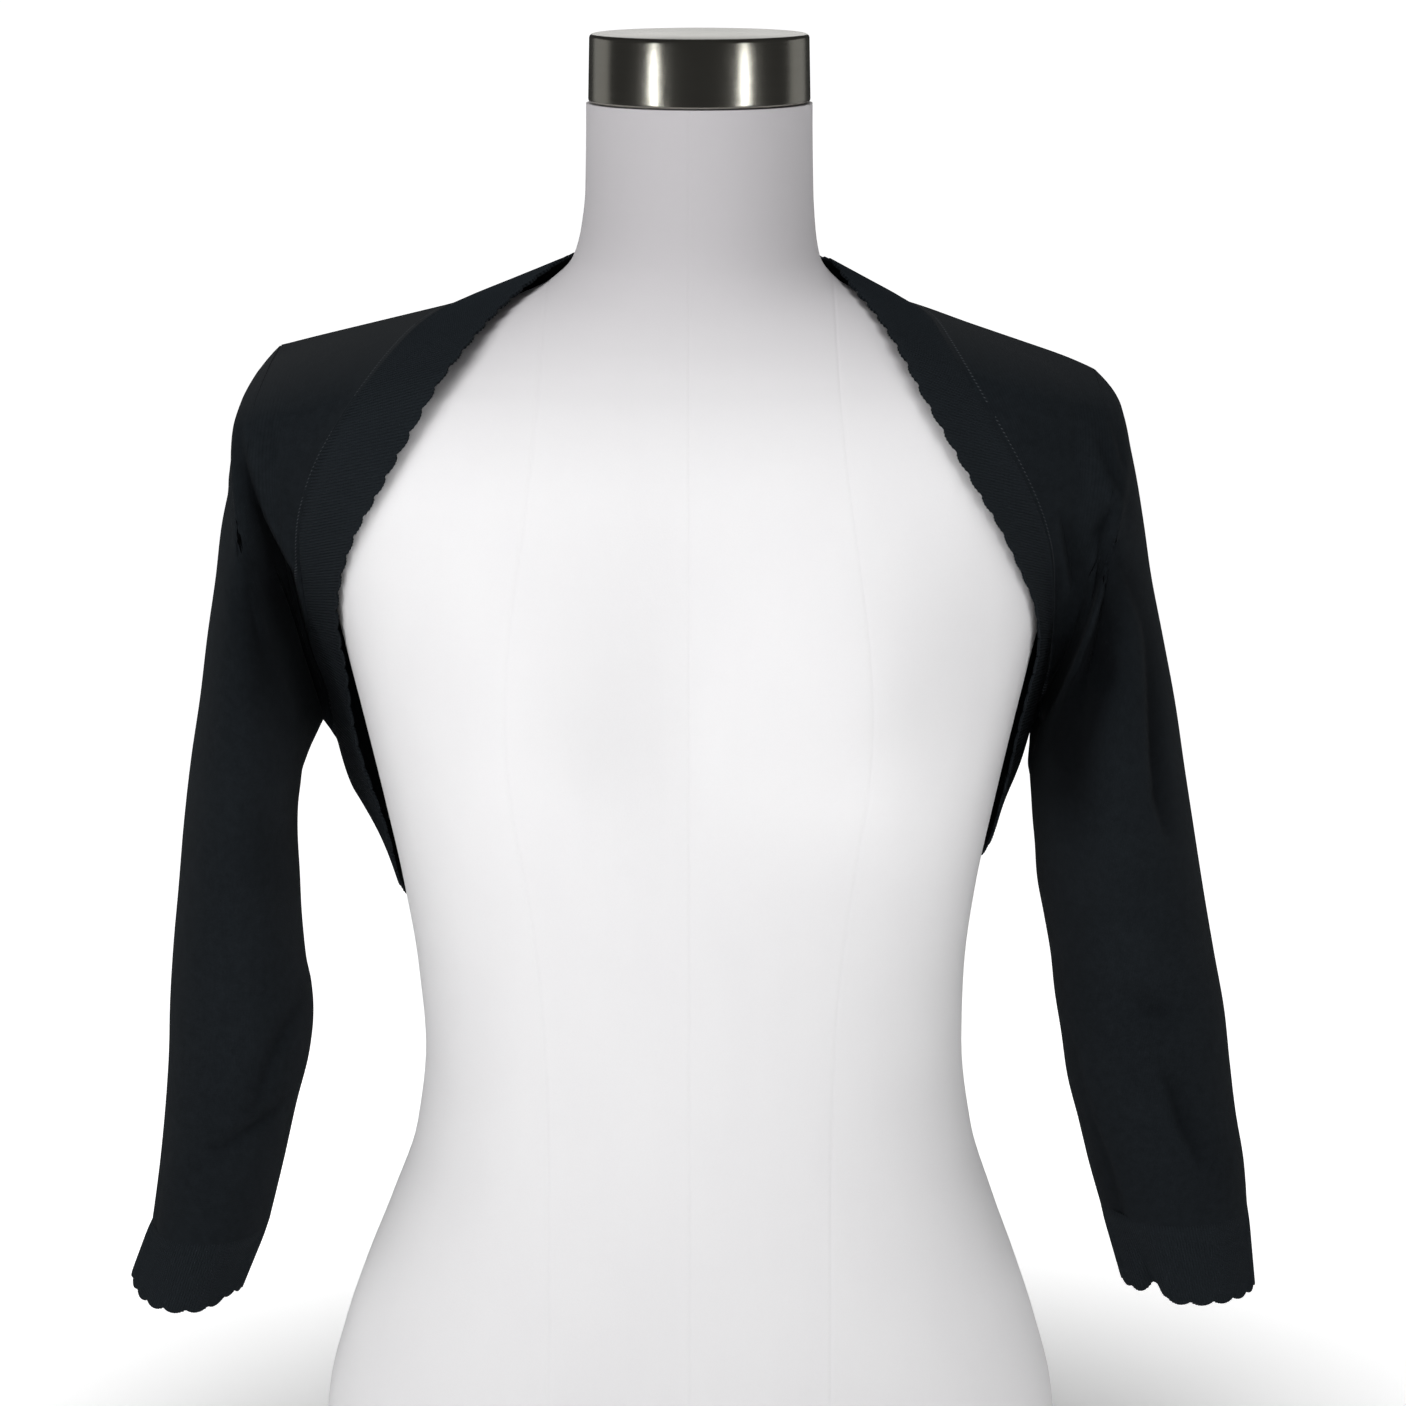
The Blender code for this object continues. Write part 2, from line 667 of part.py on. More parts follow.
def fold_depth(folds, turn, ring):
    """How far the folds draw a place of a sleeve inwards."""
    depth = 0.0
    for fold in folds:
        along_turn = (fold.end_turn - fold.start_turn) * TURN_LENGTH
        along_ring = (fold.end_ring - fold.start_ring) * RING_LENGTH
        from_turn = (turn - fold.start_turn) * TURN_LENGTH
        from_ring = (ring - fold.start_ring) * RING_LENGTH
        length = math.hypot(along_turn, along_ring)
        part = (from_turn * along_turn + from_ring * along_ring) / length**2
        near = min(max(part, 0), 1)
        aside = math.hypot(from_turn - near * along_turn, from_ring - near * along_ring)
        strength = math.exp(-0.5 * (aside / (FOLD_SPREAD * fold.half_width)) ** 2)
        ends = FOLD_AT_ENDS + (1 - FOLD_AT_ENDS) * math.sin(math.pi * near)
        depth += fold.depth * strength * ends
    return depth


# Cloth length of one degree round a sleeve and of one ring down it
TURN_LENGTH = 0.68
RING_LENGTH = 23.0

# How far below the armhole, in millimetres and in rings, a sleeve is kept off the body
BODY_REACH = 60.0
ON_THE_EDGE = 0.5
BODY_RINGS = 8


def sleeve_grid(half, side):
    """A sleeve: rings from the armhole down to the cuff, columns round it by the front."""
    rows = SLEEVE_LEFT if side == "left" else SLEEVE_RIGHT
    folds = FOLDS_LEFT if side == "left" else FOLDS_RIGHT
    armhole = half.armhole_front[:-1] + list(reversed(half.armhole_back))[:-1]
    planar = [sleeve_ring(row) for row in rows]
    grid = [armhole]
    for k in range(1, len(rows)):
        fade = max(0.0, 1 - k / ARMHOLE_FADE) ** 2
        ring = []
        for j in range(SLEEVE_COLUMNS):
            turn = 360 * j / SLEEVE_COLUMNS
            point = planar[k][j] + (armhole[j] - planar[0][j]) * fade
            centre = sum(planar[k], Vector()) / SLEEVE_COLUMNS
            inwards = (centre - planar[k][j]).normalized()
            cuff_fade = min(1.0, (len(rows) - 1 - k) / CUFF_FADE)
            ring.append(point + inwards * fold_depth(folds, turn, k) * cuff_fade)
        grid.append(ring)
    return grid


class Body:
    """The body panels as something for a sleeve to hang clear of."""

    def __init__(self, grids, armhole):
        points = []
        faces = []
        for grid in grids:
            columns = len(grid[0])
            first = len(points)
            points += [point for row in grid for point in row]
            for i in range(len(grid) - 1):
                for j in range(columns - 1):
                    a = first + i * columns + j
                    faces.append((a, a + 1, a + columns + 1, a + columns))
        self.tree = BVHTree.FromPolygons(points, faces)
        self.armhole = armhole

    def cleared(self, point):
        """The point, moved outwards where it would hang inside the body's wall."""
        nearest, normal, _, _ = self.tree.find_nearest(point)
        if normal.dot(Vector((nearest.x, nearest.y, 0))) < 0:
            normal = -normal
        from_edge = distance_to_loop(nearest, self.armhole)
        if from_edge < ON_THE_EDGE or from_edge > BODY_REACH:
            return point
        lack = min(SLEEVE_TO_BODY, from_edge) - (point - nearest).dot(normal)
        return point + normal * max(lack, 0)


def distance_to_loop(point, loop):
    """How far a point is from a closed line through the loop's points."""
    distances = []
    for start, end in zip(loop, loop[1:] + loop[:1]):
        along = end - start
        part = (point - start).dot(along) / along.length_squared
        near = start + along * min(max(part, 0), 1)
        distances.append((point - near).length)
    return min(distances)


def hung_clear(grid, body):
    """The sleeve's upper rings eased clear of the body, with the armhole ring held."""
    columns = len(grid[0])
    for _ in range(CLEARING_ROUNDS):
        for i in range(1, BODY_RINGS):
            ring = [body.cleared(point) for point in grid[i]]
            for j in range(columns):
                moved = (ring[j] - grid[i][j]).length > ALMOST_NOTHING
                if moved:
                    beside = (ring[j - 1] + ring[(j + 1) % columns]) / 2
                    grid[i][j] = body.cleared(ring[j].lerp(beside, CLEARING_EASE))
    return grid


def sleeve_ring(row):
    """A flattened ring across a sleeve, on the inner face of its wall."""
    outer = Vector((row.outer_x, row.centre_y, row.outer_z))
    inner = Vector((row.inner_x, row.centre_y, row.inner_z))
    centre = (outer + inner) / 2
    reach = (outer - inner) / 2
    reach *= 1 - WALL / reach.length
    half_depth = row.half_depth - WALL
    ring = []
    for j in range(SLEEVE_COLUMNS):
        turn = 2 * math.pi * j / SLEEVE_COLUMNS
        forwards = Vector((0, -half_depth * math.sin(turn), 0))
        ring.append(centre + reach * math.cos(turn) + forwards)
    return ring


def outward_normals(grid, wraps, is_tube):
    """Unit normals of a grid, away from a tube's middle or from the form's axis."""
    rows = len(grid)
    columns = len(grid[0])
    normals = []
    outwards = 0.0
    for i in range(rows):
        middle = sum(grid[i], Vector()) / columns
        row = []
        for j in range(columns):
            if wraps:
                across = grid[i][(j + 1) % columns] - grid[i][j - 1]
            else:
                across = grid[i][min(j + 1, columns - 1)] - grid[i][max(j - 1, 0)]
            down = grid[min(i + 1, rows - 1)][j] - grid[max(i - 1, 0)][j]
            row.append(across.cross(down).normalized())
            centre = middle if is_tube else Vector((0, 0, grid[i][j].z))
            outwards += row[-1].dot(grid[i][j] - centre)
        normals.append(row)
    if outwards < 0:
        return [[-normal for normal in row] for row in normals]
    return normals


class Piece:
    """A cloth piece: its grid, whether it wraps round or is a tube, and its joined edges."""

    def __init__(self, name, grid, wraps, is_tube, joined):
        self.name = name
        self.grid = grid
        self.wraps = wraps
        self.joined = joined
        self.normals = outward_normals(grid, wraps, is_tube)


def point_key(point):
    return (round(point.x, 3), round(point.y, 3), round(point.z, 3))


def shared_normals(pieces):
    """Where pieces meet at a seam they get one normal, so their walls end face to face."""
    sums = {}
    for piece in pieces:
        for row, normal_row in zip(piece.grid, piece.normals):
            for point, normal in zip(row, normal_row):
                key = point_key(point)
                sums[key] = sums.get(key, Vector()) + normal
    for piece in pieces:
        if piece.wraps:
            smooth_round(sums, piece.grid[0])
            smooth_round(sums, piece.grid[-1])
    for piece in pieces:
        for row, normal_row in zip(piece.grid, piece.normals):
            for j, point in enumerate(row):
                normal_row[j] = sums[point_key(point)].normalized()


def smooth_round(sums, ring):
    """Evens out the normals of a seam that goes all the way round."""
    keys = [point_key(point) for point in ring]
    count = len(keys)
    for _ in range(SEAM_SMOOTHINGS):
        before = [sums[key].normalized() for key in keys]
        for j, key in enumerate(keys):
            sums[key] = before[j - 1] + before[j] * 2 + before[(j + 1) % count]


def drawn_back(piece):
    """The grid with each joined edge drawn back by half the seam gap."""
    grid = piece.grid
    rows = len(grid)
    columns = len(grid[0])
    moved = [list(row) for row in grid]
    for i in range(rows):
        for j in range(columns):
            normal = piece.normals[i][j]
            shift = Vector()
            if "first" in piece.joined and i == 0:
                shift += seam_step(row_tangent(piece, i, j), normal, grid[1][j] - grid[0][j])
            if "last" in piece.joined and i == rows - 1:
                shift += seam_step(row_tangent(piece, i, j), normal, grid[-2][j] - grid[-1][j])
            if "left" in piece.joined and j == 0:
                shift += seam_step(column_tangent(grid, i, j), normal, grid[i][1] - grid[i][0])
            if "right" in piece.joined and j == columns - 1:
                shift += seam_step(column_tangent(grid, i, j), normal, grid[i][-2] - grid[i][-1])
            moved[i][j] = grid[i][j] + shift
    return moved


def row_tangent(piece, i, j):
    columns = len(piece.grid[0])
    if piece.wraps:
        return piece.grid[i][(j + 1) % columns] - piece.grid[i][j - 1]
    return piece.grid[i][min(j + 1, columns - 1)] - piece.grid[i][max(j - 1, 0)]


def column_tangent(grid, i, j):
    return grid[min(i + 1, len(grid) - 1)][j] - grid[max(i - 1, 0)][j]


def seam_step(tangent, normal, inwards):
    """Half the seam gap, square to the seam, towards the inside of the piece."""
    step = normal.cross(tangent).normalized() * (SEAM_GAP / 2)
    return step if step.dot(inwards) > 0 else -step


def wall_mesh(piece):
    """Points and faces of a closed wall: the inner face, the outer face and the rims."""
    inner = drawn_back(piece)
    rows = len(inner)
    columns = len(inner[0])
    points = [point for row in inner for point in row]
    for i in range(rows):
        for j in range(columns):
            points.append(inner[i][j] + piece.normals[i][j] * WALL)
    layer = rows * columns
    spans = columns if piece.wraps else columns - 1
    faces = []
    for i in range(rows - 1):
        for j in range(spans):
            a = i * columns + j
            b = i * columns + (j + 1) % columns
            faces.append((a, a + columns, b + columns, b))
            faces.append((a + layer, b + layer, b + layer + columns, a + layer + columns))
    rims = [[j % columns for j in range(spans + 1)]]
    rims.append([(rows - 1) * columns + j % columns for j in reversed(range(spans + 1))])
    if not piece.wraps:
        rims.append([i * columns for i in reversed(range(rows))])
        rims.append([i * columns + columns - 1 for i in range(rows)])
    flat = [point for row in piece.grid for point in row]
    flat_normals = [normal for row in piece.normals for normal in row]
    for rim in rims:
        for a, b in zip(rim, rim[1:]):
            faces += rim_faces(a, b, layer, flat, flat_normals)
    return points, faces


def rim_faces(a, b, layer, flat, flat_normals):
    """Two triangles of a rim, parted along the same diagonal on both sides of a seam."""
    rising = (flat[b] + flat_normals[b] * WALL - flat[a]).length
    falling = (flat[a] + flat_normals[a] * WALL - flat[b]).length
    if rising < falling:
        return [(a, b, b + layer), (a, b + layer, a + layer)]
    return [(a, b, a + layer), (b, b + layer, a + layer)]


def fan_strip(coarse, fine, ribs_before):
    """Triangles between a coarse row of points and a fine one that starts beside it."""
    faces = []
    for c in range(len(coarse) - 1):
        start = ribs_before[c]
        end = ribs_before[c + 1]
        middle = (start + end) // 2
        for k in range(start, middle):
            faces.append((coarse[c], fine[k], fine[k + 1]))
        faces.append((coarse[c], fine[middle], coarse[c + 1]))
        for k in range(middle, end):
            faces.append((coarse[c + 1], fine[k], fine[k + 1]))
    return faces


def scallop(travelled, pitch):
    """0 at the notch between two scallops and 1 at the middle of one."""
    return abs(math.sin(math.pi * travelled / pitch)) ** SCALLOP_POWER


def ribbed_wall(seam, edge, normals, edge_normals, fine_counts, pitch, seam_inwards):
    """A ring of ribbed knit between a seam and a scalloped free edge.

    seam, edge and their normals are the coarse columns, and fine_counts says how many
    fine columns each of them is parted into, two for a rib. Only the outer points rise
    and fall with the ribs and the scallops, over a plain inside.
    """
    count = len(seam)
    starts = [0]
    for parts in fine_counts:
        starts.append(starts[-1] + parts)
    total = starts[-1]
    points = []
    for c in range(count):
        points.append(seam[c] + seam_inwards[c])
    for c in range(count):
        points.append(edge[c])
    travelled = 0.0
    outer_seam = []
    outer_edge = []
    for c in range(count):
        after = (c + 1) % count
        length = (edge[after] - edge[c]).length
        for k in range(fine_counts[c]):
            t = k / fine_counts[c]
            on_rib = (starts[c] + k) % 2
            base = seam[c].lerp(seam[after], t) + seam_inwards[c].lerp(seam_inwards[after], t)
            normal = normals[c].lerp(normals[after], t)
            lip = curve_at(edge, c + t, True)
            lip_normal = edge_normals[c].lerp(edge_normals[after], t)
            outwards = (lip - base).normalized()
            bump = scallop(travelled + t * length, pitch)
            outer_seam.append(base + normal * (WALL + on_rib * RIB_RISE_AT_SEAM))
            raised = lip + lip_normal * (WALL + on_rib * RIB_RISE)
            outer_edge.append(raised + outwards * (bump - 0.5) * SCALLOP_DEPTH)
        travelled += length
    first_seam = len(points)
    points += outer_seam
    first_edge = len(points)
    points += outer_edge
    faces = []
    for c in range(count):
        after = (c + 1) % count
        faces.append((c, after, count + after, count + c))
    for k in range(total):
        after = (k + 1) % total
        faces.append((first_seam + k, first_edge + k, first_edge + after, first_seam + after))
    inner_seam_row = [c % count for c in range(count + 1)]
    inner_edge_row = [count + c % count for c in range(count + 1)]
    outer_seam_row = [first_seam + k % total for k in range(total + 1)]
    outer_edge_row = [first_edge + k % total for k in range(total + 1)]
    faces += fan_strip(inner_seam_row, outer_seam_row, starts)
    faces += [tuple(reversed(face)) for face in fan_strip(inner_edge_row, outer_edge_row, starts)]
    return points, faces


def oriented(points, faces):
    """The faces turned so that they enclose a positive volume."""
    volume = 0.0
    for face in faces:
        a = points[face[0]]
        for second, third in zip(face[1:], face[2:]):
            volume += a.dot(points[second].cross(points[third]))
    if volume < 0:
        return [tuple(reversed(face)) for face in faces]
    return faces


def band_guide(left, right):
    """The whole loop of the band: seam points and the edge points beside them."""
    seam = left.neck + left.front[1:] + left.hem[1:]
    seam += list(reversed(right.hem))[1:] + list(reversed(right.front))[1:]
    seam += list(reversed(right.neck))[1:-1]
    left_places = left.neck_places + left.front_places[1:] + left.hem_places[1:]
    right_places = right.neck_places + right.front_places[1:] + right.hem_places[1:]
    edge = [left.band_pair(place)[1] for place in left_places]
    edge += [right.band_pair(place)[1] for place in reversed(right_places)][1:-1]
    return seam, edge


def build_band(seam, edge, guide, knit):
    """The ribbed band as one closed ring with a scalloped free edge."""
    count = len(seam)
    normals = guide.normals[0]
    edge_normals = guide.normals[1]
    parts = BAND_COLUMNS_PER_SEGMENT
    fine_seam = []
    fine_edge = []
    fine_normals = []
    fine_edge_normals = []
    steps = []
    for c in range(count):
        after = (c + 1) % count
        for k in range(parts):
            t = k / parts
            fine_seam.append(seam[c].lerp(seam[after], t))
            fine_edge.append(curve_at(edge, c + t, True))
            fine_normals.append(normals[c].lerp(normals[after], t))
            fine_edge_normals.append(edge_normals[c].lerp(edge_normals[after], t))
    shifts = []
    for c in range(count):
        tangent = seam[(c + 1) % count] - seam[c - 1]
        shifts.append(seam_step(tangent, normals[c], edge[c] - seam[c]))
    for c in range(count):
        after = (c + 1) % count
        for k in range(parts):
            steps.append(shifts[c].lerp(shifts[after], k / parts))
    columns = len(fine_seam)
    length = sum((fine_edge[(c + 1) % columns] - fine_edge[c]).length for c in range(columns))
    pitch = length / round(length / SCALLOP_PITCH)
    fine_counts = []
    for c in range(columns):
        after = (c + 1) % columns
        middle_here = (fine_seam[c] + fine_edge[c]) / 2
        middle_after = (fine_seam[after] + fine_edge[after]) / 2
        stretch = (middle_after - middle_here).length
        fine_counts.append(2 * max(2, round(stretch / RIB_PITCH)))
    points, faces = ribbed_wall(
        fine_seam, fine_edge, fine_normals, fine_edge_normals, fine_counts, pitch, steps
    )
    add_object("ribbed_band", points, oriented(points, faces), knit)


def build_cuff(name, seam, normals, row, knit):
    """A ribbed cuff from its sleeve's last ring to a scalloped free edge."""
    count = len(seam)
    place = SleeveRow(
        row.outer_x, row.edge_z, row.inner_x, row.edge_z, row.half_depth, row.centre_y
    )
    edge = sleeve_ring(place)
    edge_normals = outward_normals([seam, edge], True, True)[1]
    shifts = []
    for c in range(count):
        tangent = seam[(c + 1) % count] - seam[c - 1]
        shifts.append(seam_step(tangent, normals[c], edge[c] - seam[c]))
    length = sum((edge[(c + 1) % count] - edge[c]).length for c in range(count))
    fine_counts = [2 * CUFF_RIBS_PER_COLUMN] * count
    points, faces = ribbed_wall(
        seam, edge, normals, edge_normals, fine_counts, length / CUFF_SCALLOPS, shifts
    )
    add_object(name, points, oriented(points, faces), knit)


def build_shrug(form, knit, rib):
    """Cuts and joins the pieces of the shrug round the form."""
    left = Half("left", form)
    right = Half("right", form)
    seam, edge = band_guide(left, right)
    back = back_grid(left, right, form)
    all_round = {"first", "last", "left", "right"}
    pieces = [Piece("back_panel", back, False, False, all_round)]
    for side, half in (("left", left), ("right", right)):
        front = front_grid(half, form)
        sleeve = sleeve_grid(half, side)
        strip = [list(pair) for pair in zip(seam, edge)]
        body = Body([back, front, strip], sleeve[0])
        sleeve = hung_clear(sleeve, body)
        pieces.append(Piece("front_" + side, front, False, False, all_round))
        pieces.append(Piece("sleeve_" + side, sleeve, True, True, {"first", "last"}))
    guide = Piece("band_guide", [seam, edge], True, False, set())
    shared_normals(pieces + [guide])
    for piece in pieces:
        points, faces = wall_mesh(piece)
        add_object(piece.name, points, oriented(points, faces), knit)
        side = piece.name.split("_")[1]
        if piece.name.startswith("sleeve"):
            build_cuff("cuff_" + side, piece.grid[-1], piece.normals[-1], CUFFS[side], rib)
    build_band(seam, edge, guide, rib)


def main():
    clear_scene()
    jersey = make_material("white jersey", (0.80, 0.79, 0.79), 0.85, 0.0)
    steel = make_material("brushed steel", (0.45, 0.43, 0.40), 0.35, 1.0)
    wood = make_material("painted board", (0.75, 0.74, 0.72), 0.6, 0.0)
    knit = make_material("black fine knit", (0.010, 0.012, 0.014), 0.9, 0.0)
    rib = make_material("black rib knit", (0.012, 0.014, 0.016), 0.9, 0.0)
    form = build_form(jersey)
    build_base(wood)
    build_cap(steel)
    build_shrug(form, knit, rib)


main()
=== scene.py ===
# %% [markdown]
# # A black knitted shrug on a dress form
#
# This lesson dresses the plain solids of a shrug and its dress form. The solids give
# every size and place. Here each cloth piece is made again as a thin, fine sheet over
# the same shape, with the ribs, scallops, folds and stitches that the solids leave out.
# The sizes are in millimetres and each finished mesh is scaled to metres.

import json
import math
from collections import namedtuple

import bmesh
import bpy
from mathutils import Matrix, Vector
from mathutils.bvhtree import BVHTree
from mathutils.kdtree import KDTree

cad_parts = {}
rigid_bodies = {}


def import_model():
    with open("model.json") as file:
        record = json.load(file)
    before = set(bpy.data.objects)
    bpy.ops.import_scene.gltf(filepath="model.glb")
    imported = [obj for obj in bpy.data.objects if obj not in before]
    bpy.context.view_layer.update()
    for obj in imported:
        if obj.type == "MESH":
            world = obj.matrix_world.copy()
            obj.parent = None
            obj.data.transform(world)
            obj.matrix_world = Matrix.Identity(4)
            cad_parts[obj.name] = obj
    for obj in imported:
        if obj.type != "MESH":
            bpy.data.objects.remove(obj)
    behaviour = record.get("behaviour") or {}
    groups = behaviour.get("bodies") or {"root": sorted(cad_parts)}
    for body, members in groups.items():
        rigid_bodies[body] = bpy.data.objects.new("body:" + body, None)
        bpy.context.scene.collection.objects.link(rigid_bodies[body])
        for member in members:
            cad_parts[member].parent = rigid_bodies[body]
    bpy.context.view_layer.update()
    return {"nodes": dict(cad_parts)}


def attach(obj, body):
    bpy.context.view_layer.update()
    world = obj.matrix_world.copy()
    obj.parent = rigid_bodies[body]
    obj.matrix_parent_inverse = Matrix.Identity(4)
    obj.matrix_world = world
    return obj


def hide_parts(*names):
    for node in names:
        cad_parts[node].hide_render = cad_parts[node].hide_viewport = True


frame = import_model()
MM = 0.001
ALMOST_NOTHING = 1e-6
print("the frame holds", len(frame["nodes"]), "nodes")

# %% [markdown]
# ## The dress form in numbers
#
# A torso is a stack of flattened ovals. Each row below is one oval: its height, half its
# width, its reach to the front and back, how square it is, and where its middle lies.
# A smooth curve runs through the rows, so a small table gives a whole body.

# %% The form's sizes
FORM_COLUMNS = 36
FormRow = namedtuple("FormRow", "height half_width front back power centre_x centre_y")
FORM_ROWS = [
    FormRow(12.3, 166.4, 99, 110, 2.30, -2.2, 0),
    FormRow(35, 168.9, 101, 114, 2.30, -2.2, 0),
    FormRow(70, 166.4, 102, 113, 2.30, -2.2, 0),
    FormRow(100, 159.0, 101, 109, 2.30, -2.1, 0),
    FormRow(130, 149.0, 98, 102, 2.25, -1.8, 0),
    FormRow(160, 137.7, 94, 94, 2.20, -1.2, 0),
    FormRow(195, 126.3, 89, 84, 2.20, -0.5, 0),
    FormRow(235, 121.7, 86, 78, 2.20, -0.6, 0),
    FormRow(270, 123.4, 88, 80, 2.20, -1.6, 0),
    FormRow(310, 128.9, 92, 84, 2.25, -2.2, 0),
    FormRow(350, 137.0, 97, 89, 2.30, -2.3, 0),
    FormRow(390, 145.9, 100, 93, 2.35, -2.4, 0),
    FormRow(425, 154.4, 99, 95, 2.40, -2.4, 0),
    FormRow(455, 162.0, 95, 96, 2.40, -2.4, 0),
    FormRow(485, 170.0, 90, 96, 2.40, -2.4, 0),
    FormRow(508, 175.0, 84, 94, 2.35, -2.4, 1),
    FormRow(522.5, 176.0, 79, 91, 2.30, -2.4, 2),
    FormRow(533.5, 172.0, 75, 87, 2.20, -2.4, 3),
    FormRow(542.5, 156.5, 71, 83, 2.10, -2.4, 4),
    FormRow(551.5, 132.0, 67, 78, 2.00, -2.2, 4),
    FormRow(560.5, 109.0, 62, 72, 2.00, -1.8, 4),
    FormRow(569.5, 85.0, 58, 66, 2.00, -1.2, 4),
    FormRow(579, 64.0, 54, 60, 2.00, -0.4, 4),
    FormRow(590, 54.3, 51, 55, 2.00, 0.8, 4),
    FormRow(604, 51.3, 49.8, 52, 2.00, 1.6, 4),
    FormRow(620, 50.0, 49, 50, 2.00, 2.0, 4),
    FormRow(657, 49.5, 49, 49, 2.00, 2.0, 4),
]

# The bust of the form, a soft mound on each side of its front
BUST_HEIGHT = 404.0
BUST_ASIDE = 78.0
BUST_REACH = 24.0
BUST_WIDE = 40.0
BUST_ABOVE = 52.0
BUST_BELOW = 36.0

def row_at(rows, place):
    """Values of the rows at a place of their first column, on a curve with no overshoot."""
    last = len(rows) - 1
    place = min(max(place, rows[0][0]), rows[last][0])
    index = max(k for k in range(last) if rows[k][0] <= place)
    low = rows[index]
    high = rows[index + 1]
    step = high[0] - low[0]
    t = (place - low[0]) / step
    values = []
    for column in range(1, len(low)):
        slopes = []
        for k in (index, index + 1):
            before = max(k - 1, 0)
            after = min(k + 1, last)
            left = rows[k][column] - rows[before][column]
            right = rows[after][column] - rows[k][column]
            left /= max(rows[k][0] - rows[before][0], ALMOST_NOTHING)
            right /= max(rows[after][0] - rows[k][0], ALMOST_NOTHING)
            same_way = left * right > 0
            slopes.append(2 * left * right / (left + right) if same_way else 0.0)
        values.append(
            (2 * t**3 - 3 * t**2 + 1) * low[column]
            + (t**3 - 2 * t**2 + t) * step * slopes[0]
            + (3 * t**2 - 2 * t**3) * high[column]
            + (t**3 - t**2) * step * slopes[1]
        )
    return values


def form_point(turn, height):
    """A point of the form's surface: turn 0 is the front and 90 is +X."""
    half_width, front, back, power, centre_x, centre_y = row_at(FORM_ROWS, height)
    side = math.sin(math.radians(turn))
    ahead = math.cos(math.radians(turn))
    aside = math.copysign(abs(side) ** (2 / power), side) * half_width
    x = centre_x + aside
    reach = abs(ahead) ** (2 / power)
    if ahead <= 0:
        return Vector((x, centre_y + reach * back, height))
    spread = BUST_ABOVE if height > BUST_HEIGHT else BUST_BELOW
    up_down = (height - BUST_HEIGHT) / spread
    sideways = (abs(aside) - BUST_ASIDE) / BUST_WIDE
    bust = BUST_REACH * math.exp(-0.5 * (up_down**2 + sideways**2))
    return Vector((x, centre_y - reach * front - bust * min(1, 2 * reach), height))


print("form rows:", len(FORM_ROWS))

# %% [markdown]
# ## The shrug in numbers
#
# A garment is drawn as curves before it is cut. The band's seam and its free edge run
# all round the opening, each armhole is a closed curve, and each sleeve is a row of
# rings. Everything else is stretched between these curves.

# %% The band's curve
BandRow = namedtuple("BandRow", "seam_x seam_y seam_z edge_x edge_y edge_z")
BAND_LEFT = [
    BandRow(0, 80, 563, 0, 64, 588),
    BandRow(-38, 76, 564, -31, 56, 589),
    BandRow(-72, 58, 565, -50, 39, 587.5),
    BandRow(-94, 35, 566.5, -57, 24, 585),
    BandRow(-107, 14, 567, -61, 10, 585),
    BandRow(-120, -10, 561, -78, -18, 575),
    BandRow(-131, -36, 551, -92, -41, 563),
    BandRow(-142, -54, 538, -104, -58, 549),
    BandRow(-152, -60, 523, -115, -66, 534),
    BandRow(-161, -60, 507, -125, -69, 515),
    BandRow(-168, -53, 489, -135, -69, 497),
    BandRow(-172, -43, 471, -145, -64, 479),
    BandRow(-173, -31, 455, -152, -54, 460),
    BandRow(-172, -18, 438, -155, -42, 442),
    BandRow(-171, -5, 422, -155, -30, 421),
    BandRow(-169, 6, 408, -152, -21, 403),
    BandRow(-164, 13, 392, -152, -15, 387),
    BandRow(-162, 18, 375, -149, -11, 371),
    BandRow(-159.5, 22, 360, -145, -9, 354),
    BandRow(-155, 28, 346, -139, -5, 337),
    BandRow(-150, 37, 332, -135, 3, 317),
    BandRow(-139, 51, 324, -131, 22, 298),
    BandRow(-118, 70, 320, -116, 48, 291),
    BandRow(-88, 83, 318, -92, 69, 290),
    BandRow(-58, 91, 316, -63, 81, 287),
    BandRow(-29, 95, 315, -32, 87, 286),
    BandRow(0, 96, 315, 0, 89, 286),
]
BAND_RIGHT = [
    BandRow(0, 80, 563, 0, 64, 588),
    BandRow(36, 76, 564, 30, 56, 588),
    BandRow(66, 58, 564, 48, 39, 586),
    BandRow(84, 34, 564.5, 55, 24, 583.5),
    BandRow(94, 12, 564, 58, 10, 582.5),
    BandRow(102, -12, 559, 70, -18, 574),
    BandRow(111, -38, 550, 82, -40, 564),
    BandRow(120, -52, 537, 91, -58, 549),
    BandRow(128, -58, 522, 100, -68, 533),
    BandRow(136, -58, 507, 110, -73, 516),
    BandRow(143, -54, 491, 120, -75, 499),
    BandRow(150, -46, 473, 130, -73, 482),
    BandRow(155, -35, 456, 139, -66, 463),
    BandRow(158, -22, 438, 146, -55, 447),
    BandRow(158, -10, 424, 150, -42, 430),
    BandRow(157, 0, 409, 149, -30, 413),
    BandRow(154, 8, 392, 146, -22, 396),
    BandRow(151, 14, 377, 143, -16, 380),
    BandRow(148, 20, 363, 140, -12, 364),
    BandRow(144, 28, 349, 137, -7, 348),
    BandRow(139, 39, 337, 133, 3, 331),
    BandRow(130, 53, 328, 128, 22, 313),
    BandRow(112, 69, 322, 114, 48, 300),
    BandRow(88, 83, 319, 92, 69, 293),
    BandRow(58, 91, 317, 63, 81, 289),
    BandRow(29, 95, 315, 32, 87, 287),
    BandRow(0, 96, 315, 0, 89, 286),
]
SHOULDER_STATION = 4
SIDE_STATION = {"left": 17.3, "right": 17.0}

